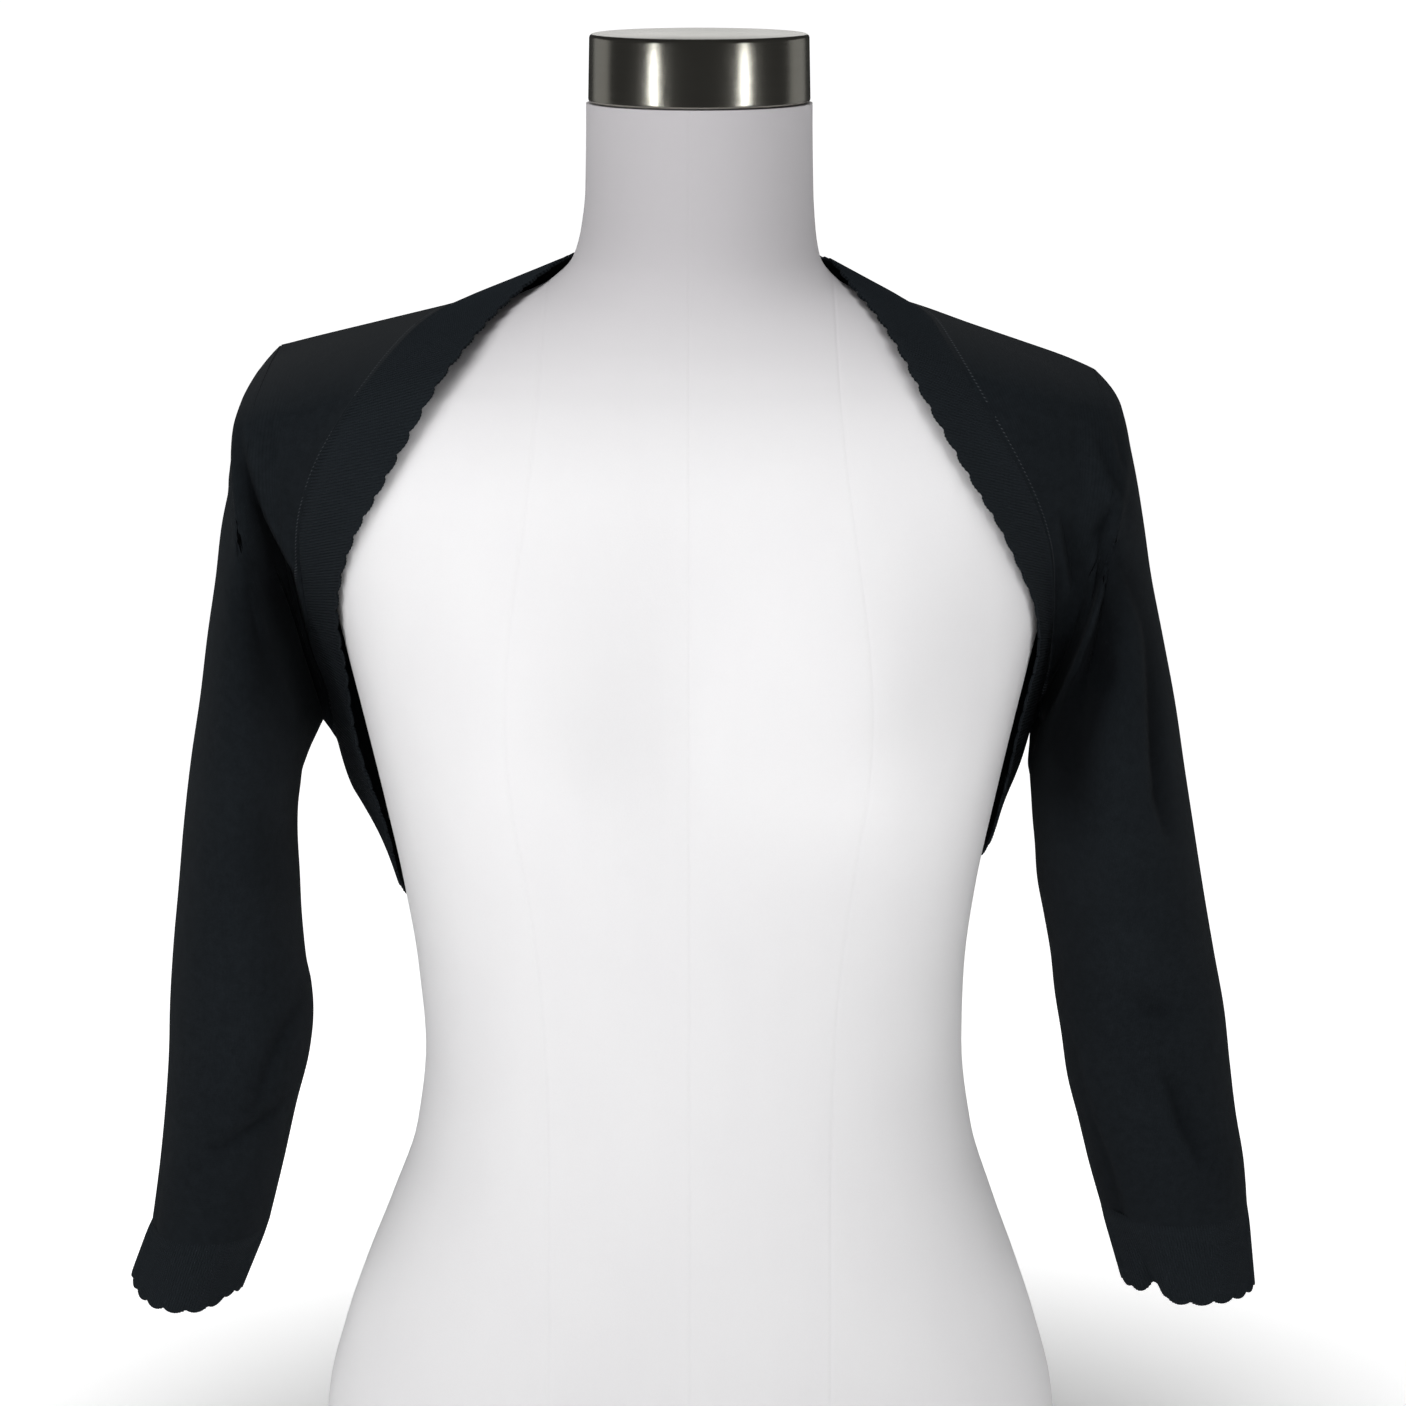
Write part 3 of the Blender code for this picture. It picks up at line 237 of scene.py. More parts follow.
# %% The armholes' curves
ArmholeRow = namedtuple("ArmholeRow", "x y z")
ARMHOLE_LEFT = [
    ArmholeRow(-184, 4, 549.5),
    ArmholeRow(-194, -22, 534.5),
    ArmholeRow(-198, -38, 513),
    ArmholeRow(-197, -44, 490),
    ArmholeRow(-191, -37, 470),
    ArmholeRow(-185, -23, 450),
    ArmholeRow(-180, -6, 429),
    ArmholeRow(-175.5, 11, 404),
    ArmholeRow(-169.5, 25, 380),
    ArmholeRow(-173, 41, 393),
    ArmholeRow(-177, 53, 414),
    ArmholeRow(-182, 61, 445),
    ArmholeRow(-187, 64, 470),
    ArmholeRow(-193, 61, 494),
    ArmholeRow(-196, 49, 518),
    ArmholeRow(-194, 27, 536.5),
]
ARMHOLE_RIGHT = [
    ArmholeRow(179, 4, 539.5),
    ArmholeRow(183, -22, 525),
    ArmholeRow(185.5, -38, 509),
    ArmholeRow(185, -45, 491),
    ArmholeRow(180, -42, 470),
    ArmholeRow(176, -30, 450),
    ArmholeRow(170.5, -12.5, 427),
    ArmholeRow(165, 6, 405),
    ArmholeRow(157, 23, 384),
    ArmholeRow(161, 39, 397),
    ArmholeRow(166, 52, 417),
    ArmholeRow(171, 60, 444),
    ArmholeRow(175, 63, 468),
    ArmholeRow(180, 60, 490),
    ArmholeRow(185, 48, 509),
    ArmholeRow(185, 26, 525),
]

# %% The sleeves' rings
SleeveRow = namedtuple("SleeveRow", "outer_x outer_z inner_x inner_z half_depth centre_y")
SLEEVE_LEFT = [
    SleeveRow(-185.5, 550, -168, 379, 52, 8),
    SleeveRow(-196.5, 537, -170, 375, 54, 8),
    SleeveRow(-201, 519.5, -172, 371, 56, 8),
    SleeveRow(-204, 499, -174, 367, 57, 7),
    SleeveRow(-209, 476, -176, 362, 58, 7),
    SleeveRow(-212.5, 451, -178, 356, 58, 6),
    SleeveRow(-217, 424, -179, 348, 58, 5),
    SleeveRow(-221, 396, -180, 338, 57, 4),
    SleeveRow(-226, 367, -180, 325, 55, 3),
    SleeveRow(-230, 338, -179, 308, 52, 2),
    SleeveRow(-233, 309, -178, 289, 49, 0),
    SleeveRow(-236, 281, -176, 270, 46, -2),
    SleeveRow(-238, 255, -173, 250, 43.5, -4),
    SleeveRow(-239, 230, -175, 229, 42, -6),
    SleeveRow(-241, 205, -181, 206, 41, -8),
    SleeveRow(-244, 179, -187, 180, 40, -9),
    SleeveRow(-248, 152, -194, 152, 39, -10),
]
SLEEVE_RIGHT = [
    SleeveRow(179, 539, 157, 387, 52, 8),
    SleeveRow(187, 527, 156.0, 377, 54, 8),
    SleeveRow(191, 511, 152.5, 371, 56, 8),
    SleeveRow(195, 494, 151.5, 362, 57, 7),
    SleeveRow(199, 473, 152, 353, 58, 7),
    SleeveRow(203, 449, 152.5, 344, 58, 6),
    SleeveRow(209, 421, 153, 334, 58, 5),
    SleeveRow(215, 392, 154, 322, 57, 4),
    SleeveRow(220, 362, 155, 307, 55, 3),
    SleeveRow(225, 333, 158, 291, 51, 2),
    SleeveRow(230, 304, 161, 274, 48, 0),
    SleeveRow(235, 277, 163, 256, 44, -2),
    SleeveRow(240, 251, 166, 238, 42, -4),
    SleeveRow(243, 226, 169, 218, 40, -6),
    SleeveRow(246, 203, 174, 199, 39, -8),
    SleeveRow(250, 181, 179, 179, 38, -9),
    SleeveRow(252, 160, 184.5, 160, 37, -10),
]
# Rings over which the armhole's own shape, and the folds above the cuff, fade out
ARMHOLE_FADE = 6
CUFF_FADE = 1.5

# Cuffs: the free edge as the outermost and innermost x, its height, half its depth
CuffRow = namedtuple("CuffRow", "outer_x inner_x edge_z half_depth centre_y")
CUFFS = {
    "left": CuffRow(-257, -207, 120, 37, -10),
    "right": CuffRow(256, 197, 123, 35, -10),
}

# %% [markdown]
# ## Curves and nets
#
# A smooth curve is read from a few stations, and a net of points is stretched between
# four curves. The net is then drawn taut, as cloth is, and pushed off the form where it
# would pass through it. All of this is plain arithmetic on points, so it is kept in small
# functions that each cloth piece uses again.

# %% Cloth sizes and helpers for curves
WALL = 1.5
FORM_CLEARANCE = 2.5
BACK_CLEARANCE = 3.4
BAND_CLEARANCE = 2.5
BAND_PROBES = (0.25, 0.5, 0.75)
BAND_PROBE_CLEARANCE = 1.4
SLEEVE_TO_BODY = 6.0
BODY_REACH = 60.0
BODY_RINGS = 8
ON_THE_EDGE = 0.5
CLEARING_ROUNDS = 6
CLEARING_EASE = 0.25
SLEEVE_COLUMNS = 24
PANEL_COLUMNS = 5
SIDE_WIDENING = 1.6
BACK_COLUMNS = 14
ARMHOLE_ROWS = SLEEVE_COLUMNS // 2
RELAX_ROUNDS = 120
LEAST_PULL = 0.2
MOST_PULL = 20.0
CURVE_STEPS = 400
FRONT_FULLNESS = 2.6
BACK_FULLNESS = 1.5


def curve_at(stations, place, closed):
    """A point at a place, counted in stations, on a smooth curve through them."""
    count = len(stations)
    index = math.floor(place)
    if not closed:
        index = min(max(index, 0), count - 2)
    t = place - index
    picked = []
    for k in range(index - 1, index + 3):
        picked.append(stations[k % count] if closed else stations[min(max(k, 0), count - 1)])
    a, b, c, d = picked
    first = (c - a) / 2
    second = (d - b) / 2
    return (
        b * (2 * t**3 - 3 * t**2 + 1)
        + first * (t**3 - 2 * t**2 + t)
        + c * (3 * t**2 - 2 * t**3)
        + second * (t**3 - t**2)
    )


def even_places(stations, start, end, count, closed):
    """Places, counted in stations, that part a stretch of a curve into equal lengths."""
    steps = CURVE_STEPS
    places = [start + (end - start) * k / steps for k in range(steps + 1)]
    points = [curve_at(stations, place, closed) for place in places]
    travelled = [0.0]
    for before, after in zip(points, points[1:]):
        travelled.append(travelled[-1] + (after - before).length)
    chosen = []
    for k in range(count + 1):
        wanted = travelled[-1] * k / count
        index = max(i for i in range(steps) if travelled[i] <= wanted + ALMOST_NOTHING)
        length = travelled[index + 1] - travelled[index]
        part = (wanted - travelled[index]) / length
        chosen.append(places[index] + part * (places[index + 1] - places[index]))
    return chosen


def pushed_out(point, form, clearance):
    """The point, moved outwards where it is nearer to the form than the clearance."""
    nearest, normal, _, distance = form.find_nearest(point)
    if normal is None:
        return point
    signed = (point - nearest).dot(normal)
    if signed > 0 and distance >= clearance:
        return point
    if signed <= 0:
        return nearest + normal * clearance
    return nearest + (point - nearest).normalized() * clearance


def relaxed(grid, form, clearance):
    """The grid's inner points drawn taut between its edges and over the form."""
    rows = len(grid)
    columns = len(grid[0])
    for _ in range(RELAX_ROUNDS):
        for i in range(1, rows - 1):
            across_length = (grid[i][-1] - grid[i][0]).length / (columns - 1)
            for j in range(1, columns - 1):
                down_length = (grid[i + 1][j] - grid[i - 1][j]).length / 2
                pull = (down_length / across_length) ** 2
                pull = min(max(pull, LEAST_PULL), MOST_PULL)
                across = grid[i][j - 1] + grid[i][j + 1]
                along = grid[i - 1][j] + grid[i + 1][j]
                middle = (across * pull + along) / (2 * pull + 2)
                grid[i][j] = pushed_out(middle, form, clearance)
    return grid


def coons(top, bottom, left, right):
    """A grid that blends its four edges. Top and bottom run across, the others down."""
    rows = len(left)
    columns = len(top)
    grid = []
    for i in range(rows):
        v = i / (rows - 1)
        row = []
        for j in range(columns):
            u = j / (columns - 1)
            ruled = top[j] * (1 - v) + bottom[j] * v + left[i] * (1 - u) + right[i] * u
            upper = top[0] * (1 - u) + top[-1] * u
            lower = bottom[0] * (1 - u) + bottom[-1] * u
            row.append(ruled - upper * (1 - v) - lower * v)
        row[0] = left[i]
        row[-1] = right[i]
        grid.append(row)
    grid[0] = list(top)
    grid[-1] = list(bottom)
    return grid


print("a net is drawn taut in", RELAX_ROUNDS, "rounds")

# %% [markdown]
# ## The form as a surface to lie on
#
# The cloth has to know where the body is. A tree of the form's faces answers one
# question fast: which point of the body is nearest? It is made from the same ovals as
# the form itself.

# %% The form as something to lie on
def coarse_form():
    """The form's rings joined by faces, for finding the nearest point of the body."""
    rings = []
    for row in FORM_ROWS:
        turns = [360 / FORM_COLUMNS * column for column in range(FORM_COLUMNS)]
        rings.append([form_point(turn, row.height) for turn in turns])
    points = [point for ring in rings for point in ring]
    faces = []
    for i in range(len(rings) - 1):
        for j in range(FORM_COLUMNS):
            a = i * FORM_COLUMNS + j
            b = i * FORM_COLUMNS + (j + 1) % FORM_COLUMNS
            faces.append((a, b, b + FORM_COLUMNS, a + FORM_COLUMNS))
    return BVHTree.FromPolygons(points, faces)


form = coarse_form()
print("waist half width:", round(form_point(90, 235).x, 1))

# %% [markdown]
# ## Panels between the curves
#
# Each front lies between the band's seam and its armhole, from the shoulder seam to the
# side seam. The back lies between both armholes. Where two pieces meet they share the
# same seam points, so no gap can open between them.

# %% The panels' nets
def column_parts(widening):
    """Where a front's columns lie across it, the one by the armhole widened by a share."""
    wide = (1 + widening) / PANEL_COLUMNS
    narrow = (1 - wide) / (PANEL_COLUMNS - 1)
    return [narrow * k for k in range(PANEL_COLUMNS)] + [1.0]


def straight_seam(start, end, parts, form):
    """A seam from one point to another, held off the form."""
    points = [start]
    for part in parts[1:-1]:
        points.append(pushed_out(start.lerp(end, part), form, FORM_CLEARANCE))
    return points + [end]


def respaced(grid, form):
    """The front's columns spread so that the one by the armhole widens down to the side."""
    rows = len(grid)
    moved = [grid[0]]
    for i in range(1, rows - 1):
        parts = column_parts(SIDE_WIDENING * i / (rows - 1))
        row = [grid[i][0]]
        for part in parts[1:-1]:
            place = part * PANEL_COLUMNS
            near = int(place)
            point = grid[i][near].lerp(grid[i][near + 1], place - near)
            row.append(pushed_out(point, form, FORM_CLEARANCE))
        moved.append(row + [grid[i][-1]])
    return moved + [grid[-1]]


class Half:
    """The left or right side's shared curves: band seam, band edge, armhole, seams."""

    def __init__(self, side, form):
        band_rows = BAND_LEFT if side == "left" else BAND_RIGHT
        armhole_rows = ARMHOLE_LEFT if side == "left" else ARMHOLE_RIGHT
        self.form = form
        self.seam_stations = []
        self.edge_stations = []
        for row in band_rows:
            seam = Vector((row.seam_x, row.seam_y, row.seam_z))
            edge = Vector((row.edge_x, row.edge_y, row.edge_z))
            self.seam_stations.append(pushed_out(seam, form, BAND_CLEARANCE))
            self.edge_stations.append(pushed_out(edge, form, BAND_CLEARANCE))
        armhole = [Vector(row) for row in armhole_rows]
        count = len(armhole)
        front_places = even_places(armhole, 0, count / 2, ARMHOLE_ROWS, True)
        back_places = even_places(armhole, count, count / 2, ARMHOLE_ROWS, True)
        self.armhole_front = [curve_at(armhole, place, True) for place in front_places]
        self.armhole_back = [curve_at(armhole, place, True) for place in back_places]
        last = len(band_rows) - 1
        side_station = SIDE_STATION[side]
        half_back = BACK_COLUMNS // 2
        seam = self.seam_stations
        self.neck_places = even_places(seam, 0, SHOULDER_STATION, half_back, False)
        self.front_places = even_places(
            seam, SHOULDER_STATION, side_station, ARMHOLE_ROWS, False
        )
        self.hem_places = even_places(seam, side_station, last, half_back, False)
        self.neck = [self.band_pair(place)[0] for place in self.neck_places]
        self.front = [self.band_pair(place)[0] for place in self.front_places]
        self.hem = [self.band_pair(place)[0] for place in self.hem_places]
        self.shoulder_seam = straight_seam(
            self.front[0], self.armhole_front[0], column_parts(0), form
        )
        self.side_seam = straight_seam(
            self.front[-1], self.armhole_front[-1], column_parts(SIDE_WIDENING), form
        )

    def band_pair(self, place):
        """The seam's and the edge's point at a place, clear of the form between them."""
        seam = curve_at(self.seam_stations, place, False)
        edge = curve_at(self.edge_stations, place, False)
        seam = pushed_out(seam, self.form, BAND_CLEARANCE)
        edge = pushed_out(edge, self.form, BAND_CLEARANCE)
        for part in BAND_PROBES:
            point = seam.lerp(edge, part)
            lift = pushed_out(point, self.form, BAND_PROBE_CLEARANCE) - point
            seam += lift
            edge += lift
        return seam, edge


def front_grid(half, form):
    """A front: rows from the shoulder seam to the side seam, columns out to the armhole."""
    grid = coons(half.shoulder_seam, half.side_seam, half.front, half.armhole_front)
    grid = respaced(relaxed(grid, form, FORM_CLEARANCE), form)
    return fuller(grid, FRONT_FULLNESS)


def back_grid(left, right, form):
    """The back: rows from the neck to the hem, columns from left to right."""
    edges = []
    for half in (left, right):
        up_side = list(reversed(half.side_seam))
        edges.append(half.shoulder_seam + half.armhole_back[1:] + up_side[1:])
    top = list(reversed(left.neck)) + right.neck[1:]
    bottom = left.hem + list(reversed(right.hem))[1:]
    grid = coons(top, bottom, edges[0], edges[1])
    grid = relaxed(grid, form, BACK_CLEARANCE)
    return fuller(grid, BACK_FULLNESS)


def fuller(grid, fullness):
    """The grid with its middle eased outwards, as loose knit stands off a little."""
    rows = len(grid)
    columns = len(grid[0])
    normals = outward_normals(grid, False, False)
    eased = [list(row) for row in grid]
    for i in range(1, rows - 1):
        for j in range(1, columns - 1):
            rise = math.sin(math.pi * i / (rows - 1)) * math.sin(math.pi * j / (columns - 1))
            eased[i][j] = grid[i][j] + normals[i][j] * fullness * rise
    return eased


def outward_normals(grid, wraps, is_tube):
    """Unit normals of a grid, away from a tube's middle or from the form's axis."""
    rows = len(grid)
    columns = len(grid[0])
    normals = []
    outwards = 0.0
    for i in range(rows):
        middle = sum(grid[i], Vector()) / columns
        row = []
        for j in range(columns):
            if wraps:
                across = grid[i][(j + 1) % columns] - grid[i][j - 1]
            else:
                across = grid[i][min(j + 1, columns - 1)] - grid[i][max(j - 1, 0)]
            down = grid[min(i + 1, rows - 1)][j] - grid[max(i - 1, 0)][j]
            row.append(across.cross(down).normalized())
            centre = middle if is_tube else Vector((0, 0, grid[i][j].z))
            outwards += row[-1].dot(grid[i][j] - centre)
        normals.append(row)
    if outwards < 0:
        return [[-normal for normal in row] for row in normals]
    return normals


def band_guide(left, right):
    """The whole loop of the band: seam points and the edge points beside them."""
    seam = left.neck + left.front[1:] + left.hem[1:]
    seam += list(reversed(right.hem))[1:] + list(reversed(right.front))[1:]
    seam += list(reversed(right.neck))[1:-1]
    left_places = left.neck_places + left.front_places[1:] + left.hem_places[1:]
    right_places = right.neck_places + right.front_places[1:] + right.hem_places[1:]
    edge = [left.band_pair(place)[1] for place in left_places]
    edge += [right.band_pair(place)[1] for place in reversed(right_places)][1:-1]
    return seam, edge


left = Half("left", form)
right = Half("right", form)
band_seam, band_edge = band_guide(left, right)
back_net = back_grid(left, right, form)
front_nets = {"left": front_grid(left, form), "right": front_grid(right, form)}
print("band stations:", len(band_seam), "back rows:", len(back_net))

# %% [markdown]
# ## Sleeves as rings
#
# A sleeve is a row of flattened rings. The first ring is the armhole itself, and its odd
# shape fades out over the next rings. The upper rings are then eased away from the body,
# because a sleeve hangs outside the panel that it is sewn to.

# %% The sleeves' nets
def sleeve_ring(row):
    """A flattened ring across a sleeve, on the inner face of its wall."""
    outer = Vector((row.outer_x, row.centre_y, row.outer_z))
    inner = Vector((row.inner_x, row.centre_y, row.inner_z))
    centre = (outer + inner) / 2
    reach = (outer - inner) / 2
    reach *= 1 - WALL / reach.length
    half_depth = row.half_depth - WALL
    ring = []
    for j in range(SLEEVE_COLUMNS):
        turn = 2 * math.pi * j / SLEEVE_COLUMNS
        forwards = Vector((0, -half_depth * math.sin(turn), 0))
        ring.append(centre + reach * math.cos(turn) + forwards)
    return ring


def sleeve_grid(half, side):
    """A sleeve's plain rings from the armhole to the cuff, columns round by the front."""
    rows = SLEEVE_LEFT if side == "left" else SLEEVE_RIGHT
    armhole = half.armhole_front[:-1] + list(reversed(half.armhole_back))[:-1]
    planar = [sleeve_ring(row) for row in rows]
    grid = [armhole]
    for k in range(1, len(rows)):
        fade = max(0.0, 1 - k / ARMHOLE_FADE) ** 2
        ring = []
        for j in range(SLEEVE_COLUMNS):
            ring.append(planar[k][j] + (armhole[j] - planar[0][j]) * fade)
        grid.append(ring)
    return grid


class Body:
    """The body panels as something for a sleeve to hang clear of."""

    def __init__(self, grids, armhole):
        points = []
        faces = []
        for grid in grids:
            columns = len(grid[0])
            first = len(points)
            points += [point for row in grid for point in row]
            for i in range(len(grid) - 1):
                for j in range(columns - 1):
                    a = first + i * columns + j
                    faces.append((a, a + 1, a + columns + 1, a + columns))
        self.tree = BVHTree.FromPolygons(points, faces)
        self.armhole = armhole

    def cleared(self, point):
        """The point, moved outwards where it would hang inside the body's wall."""
        nearest, normal, _, _ = self.tree.find_nearest(point)
        if normal.dot(Vector((nearest.x, nearest.y, 0))) < 0:
            normal = -normal
        from_edge = distance_to_loop(nearest, self.armhole)
        if from_edge < ON_THE_EDGE or from_edge > BODY_REACH:
            return point
        lack = min(SLEEVE_TO_BODY, from_edge) - (point - nearest).dot(normal)
        return point + normal * max(lack, 0)


def distance_to_loop(point, loop):
    """How far a point is from a closed line through the loop's points."""
    distances = []
    for start, end in zip(loop, loop[1:] + loop[:1]):
        along = end - start
        part = (point - start).dot(along) / along.length_squared
        near = start + along * min(max(part, 0), 1)
        distances.append((point - near).length)
    return min(distances)


def hung_clear(grid, body):
    """The sleeve's upper rings eased clear of the body, with the armhole ring held."""
    columns = len(grid[0])
    for _ in range(CLEARING_ROUNDS):
        for i in range(1, BODY_RINGS):
            ring = [body.cleared(point) for point in grid[i]]
            for j in range(columns):
                moved = (ring[j] - grid[i][j]).length > ALMOST_NOTHING
                if moved:
                    beside = (ring[j - 1] + ring[(j + 1) % columns]) / 2
                    grid[i][j] = body.cleared(ring[j].lerp(beside, CLEARING_EASE))
    return grid


band_strip = [list(pair) for pair in zip(band_seam, band_edge)]
sleeve_nets = {}
for side, half in (("left", left), ("right", right)):
    net = sleeve_grid(half, side)
    body = Body([back_net, front_nets[side], band_strip], net[0])
    sleeve_nets[side] = hung_clear(net, body)
print("sleeve rings:", len(sleeve_nets["left"]))

# %% [markdown]
# ## Finer nets
#
# The nets so far are coarse. Read along smooth curves in both directions, they give as
# many rows and columns as a fine sheet needs. The edges of two neighbours have to meet,
# so each edge is put back on the shared seam curve and the small difference is spread
# over the next few columns.

# %% Refine a net
EDGE_SPREAD = 6


def finer(net, rows, columns, wraps):
    """The net read at more rows and columns on smooth curves through its points."""
    cells = len(net[0]) if wraps else len(net[0]) - 1
    count = columns if wraps else columns + 1
    across = [[curve_at(row, cells * k / columns, wraps) for k in range(count)] for row in net]
    cells = len(net) - 1
    lines = []
    for line in zip(*across):
        line = list(line)
        lines.append([curve_at(line, cells * k / rows, False) for k in range(rows + 1)])
    return [list(row) for row in zip(*lines)]


def edge_held(net, edge, where):
    """The net with one edge laid on a shared curve, where is left, right, top or bottom."""
    turned = where in ("top", "bottom")
    lines = [list(line) for line in zip(*net)] if turned else [list(row) for row in net]
    back = where in ("right", "bottom")
    for i, line in enumerate(lines):
        step = edge[i] - line[-1 if back else 0]
        for k in range(EDGE_SPREAD):
            line[-1 - k if back else k] += step * (1 - k / EDGE_SPREAD) ** 2
    return [list(row) for row in zip(*lines)] if turned else lines


def curve_points(stations, start, end, count, closed):
    """Points at even steps of place along a curve, its ends included."""
    return [curve_at(stations, start + (end - start) * k / count, closed) for k in range(count + 1)]


print("an edge is eased over", EDGE_SPREAD, "columns")

# %% The fronts and the back, fine
FINE = 6
armholes = {side: sleeve_nets[side][0] for side in ("left", "right")}
halves = {"left": left, "right": right}


def fine_front(side):
    """A front's fine net with its four edges on the shared seams."""
    half = halves[side]
    rows = ARMHOLE_ROWS * FINE
    columns = PANEL_COLUMNS * 8
    net = finer(front_nets[side], rows, columns, False)
    start, end = (7, 19) if side == "left" else (45, 33)
    net = edge_held(net, curve_points(half.shoulder_seam, 0, PANEL_COLUMNS, columns, False), "top")
    net = edge_held(net, curve_points(half.side_seam, 0, PANEL_COLUMNS, columns, False), "bottom")
    net = edge_held(net, curve_points(band_seam, start, end, rows, True), "left")
    return edge_held(net, curve_points(armholes[side], 0, ARMHOLE_ROWS, rows, True), "right")


def back_side(side):
    """The back's edge from the neck out over the shoulder, down the armhole to the hem."""
    half = halves[side]
    per = FINE
    shoulder = curve_points(half.shoulder_seam, 0, PANEL_COLUMNS, PANEL_COLUMNS * per, False)
    armhole = curve_points(armholes[side], 24, 12, ARMHOLE_ROWS * per, True)
    up_side = curve_points(half.side_seam, PANEL_COLUMNS, 0, PANEL_COLUMNS * per, False)
    return shoulder + armhole[1:] + up_side[1:]


def fine_back():
    """The back's fine net with its four edges on the shared seams."""
    rows = (2 * PANEL_COLUMNS + ARMHOLE_ROWS) * FINE
    columns = BACK_COLUMNS * 8
    net = finer(back_net, rows, columns, False)
    net = edge_held(net, curve_points(band_seam, 7, -7, columns, True), "top")
    net = edge_held(net, curve_points(band_seam, 19, 33, columns, True), "bottom")
    net = edge_held(net, back_side("left"), "left")
    return edge_held(net, back_side("right"), "right")


fine_nets = {"back_panel": fine_back()}
for side in ("left", "right"):
    fine_nets["front_" + side] = fine_front(side)
print({name: (len(net), len(net[0])) for name, net in fine_nets.items()})

# %% [markdown]
# ## Ease the armholes
#
# A set-in sleeve in fine knit runs on from the body with no sharp valley at its seam, and
# its head stands up a little, rounded, at the end of the shoulder. Each point of the seam
# is drawn towards the line between the cloth on both sides of it, which is how a fillet is
# made, and the cloth near it follows, less and less. Under the arm the seam stays in its
# hollow.

# %% Fillets along the armholes
EaseRow = namedtuple("EaseRow", "place strength rise outwards")
EASE_LEFT = [
    EaseRow(0, 0.9, 4.6, 0.5),
    EaseRow(2, 0.9, 1.0, 0.0),
    EaseRow(4, 0.95, 0.0, 0.0),
    EaseRow(6, 0.95, 0.0, 0.0),
    EaseRow(8, 0.6, 0.0, 0.0),
    EaseRow(10, 0.2, 0.0, 0.0),
    EaseRow(12, 0.2, 0.0, 0.0),
    EaseRow(15, 0.7, 0.0, 0.0),
    EaseRow(18, 0.9, 0.0, 0.0),
    EaseRow(22, 0.9, 1.0, 0.0),
    EaseRow(24, 0.9, 4.6, 0.5),
]
EASE_RIGHT = [
    EaseRow(0, 0.9, 3.4, 0.0),
    EaseRow(2, 0.9, 0.8, 0.0),
    EaseRow(4, 0.95, 0.0, 0.0),
    EaseRow(6, 0.95, 0.0, 0.0),
    EaseRow(8, 0.6, 0.0, 0.0),
    EaseRow(10, 0.2, 0.0, 0.0),
    EaseRow(12, 0.2, 0.0, 0.0),
    EaseRow(15, 0.7, 0.0, 0.0),
    EaseRow(18, 0.9, 0.0, 0.0),
    EaseRow(22, 0.9, 0.8, 0.0),
    EaseRow(24, 0.9, 3.4, 0.0),
]
EASE_REACH = 25.0
EASE_SMOOTHING = 6
SLEEVE_TURNS = SLEEVE_COLUMNS * FINE
SLEEVE_ROWS_EACH = 10


def point_beyond(line, reach):
    """The first point of a line that lies as far from its start as the reach."""
    for point in line:
        if (point - line[0]).length >= reach:
            return point
    return line[-1]


def body_line(side, turn):
    """The front's or the back's points inwards from one point of the armhole."""
    half_way = SLEEVE_TURNS // 2
    if turn <= half_way:
        return list(reversed(fine_nets["front_" + side][turn]))
    row = fine_nets["back_panel"][PANEL_COLUMNS * FINE + SLEEVE_TURNS - turn]
    return row if side == "left" else list(reversed(row))


def seam_moves(side):
    """The armhole's points, and how far each moves in its fillet."""
    sleeve = fine_nets["sleeve_" + side]
    table = EASE_LEFT if side == "left" else EASE_RIGHT
    moves = []
    for turn in range(SLEEVE_TURNS):
        seam = sleeve[0][turn]
        strength, rise, outwards = row_at(table, turn / FINE)
        down_sleeve = point_beyond([ring[turn] for ring in sleeve], EASE_REACH)
        over_body = point_beyond(body_line(side, turn), EASE_REACH)
        fillet = ((down_sleeve + over_body) / 2 - seam) / 2
        away = math.copysign(outwards, seam.x)
        moves.append(fillet * strength + Vector((away, 0, rise)))
    for _ in range(EASE_SMOOTHING):
        moves = [(moves[k - 1] + moves[k] * 2 + moves[(k + 1) % SLEEVE_TURNS]) / 4
                 for k in range(SLEEVE_TURNS)]
    return sleeve[0], moves


class Fillet:
    """The easing of one armhole, to be laid on any net."""

    def __init__(self, side):
        self.points, self.moves = seam_moves(side)
        self.tree = KDTree(len(self.points))
        for index, point in enumerate(self.points):
            self.tree.insert(point, index)
        self.tree.balance()

    def eased(self, point):
        _, index, distance = self.tree.find(point)
        if distance >= EASE_REACH:
            return point
        return point + self.moves[index] * (1 - distance / EASE_REACH) ** 2

    def lay_on(self, name):
        fine_nets[name] = [[self.eased(point) for point in row] for row in fine_nets[name]]


for side in ("left", "right"):
    rings = len(sleeve_nets[side]) - 1
    net = finer(sleeve_nets[side], rings * SLEEVE_ROWS_EACH, SLEEVE_TURNS, True)
    fine_nets["sleeve_" + side] = net
fillets = {side: Fillet(side) for side in ("left", "right")}
for side, fillet in fillets.items():
    for name in ("front_" + side, "back_panel", "sleeve_" + side):
        fillet.lay_on(name)
    print(side, "armhole moves by up to", round(max(move.length for move in fillet.moves), 1), "mm")

# %% [markdown]
# ## Folds in the sleeves
#
# Nothing says cloth like its folds. A sleeve that hangs empty breaks into soft troughs
# from the armhole down the front, across the elbow and above the cuff, and no two are
# alike. Each fold is one row of a table: where it starts and ends, as a turn round the
# sleeve and a ring down it, and how wide and deep it is. A negative depth is a ridge.

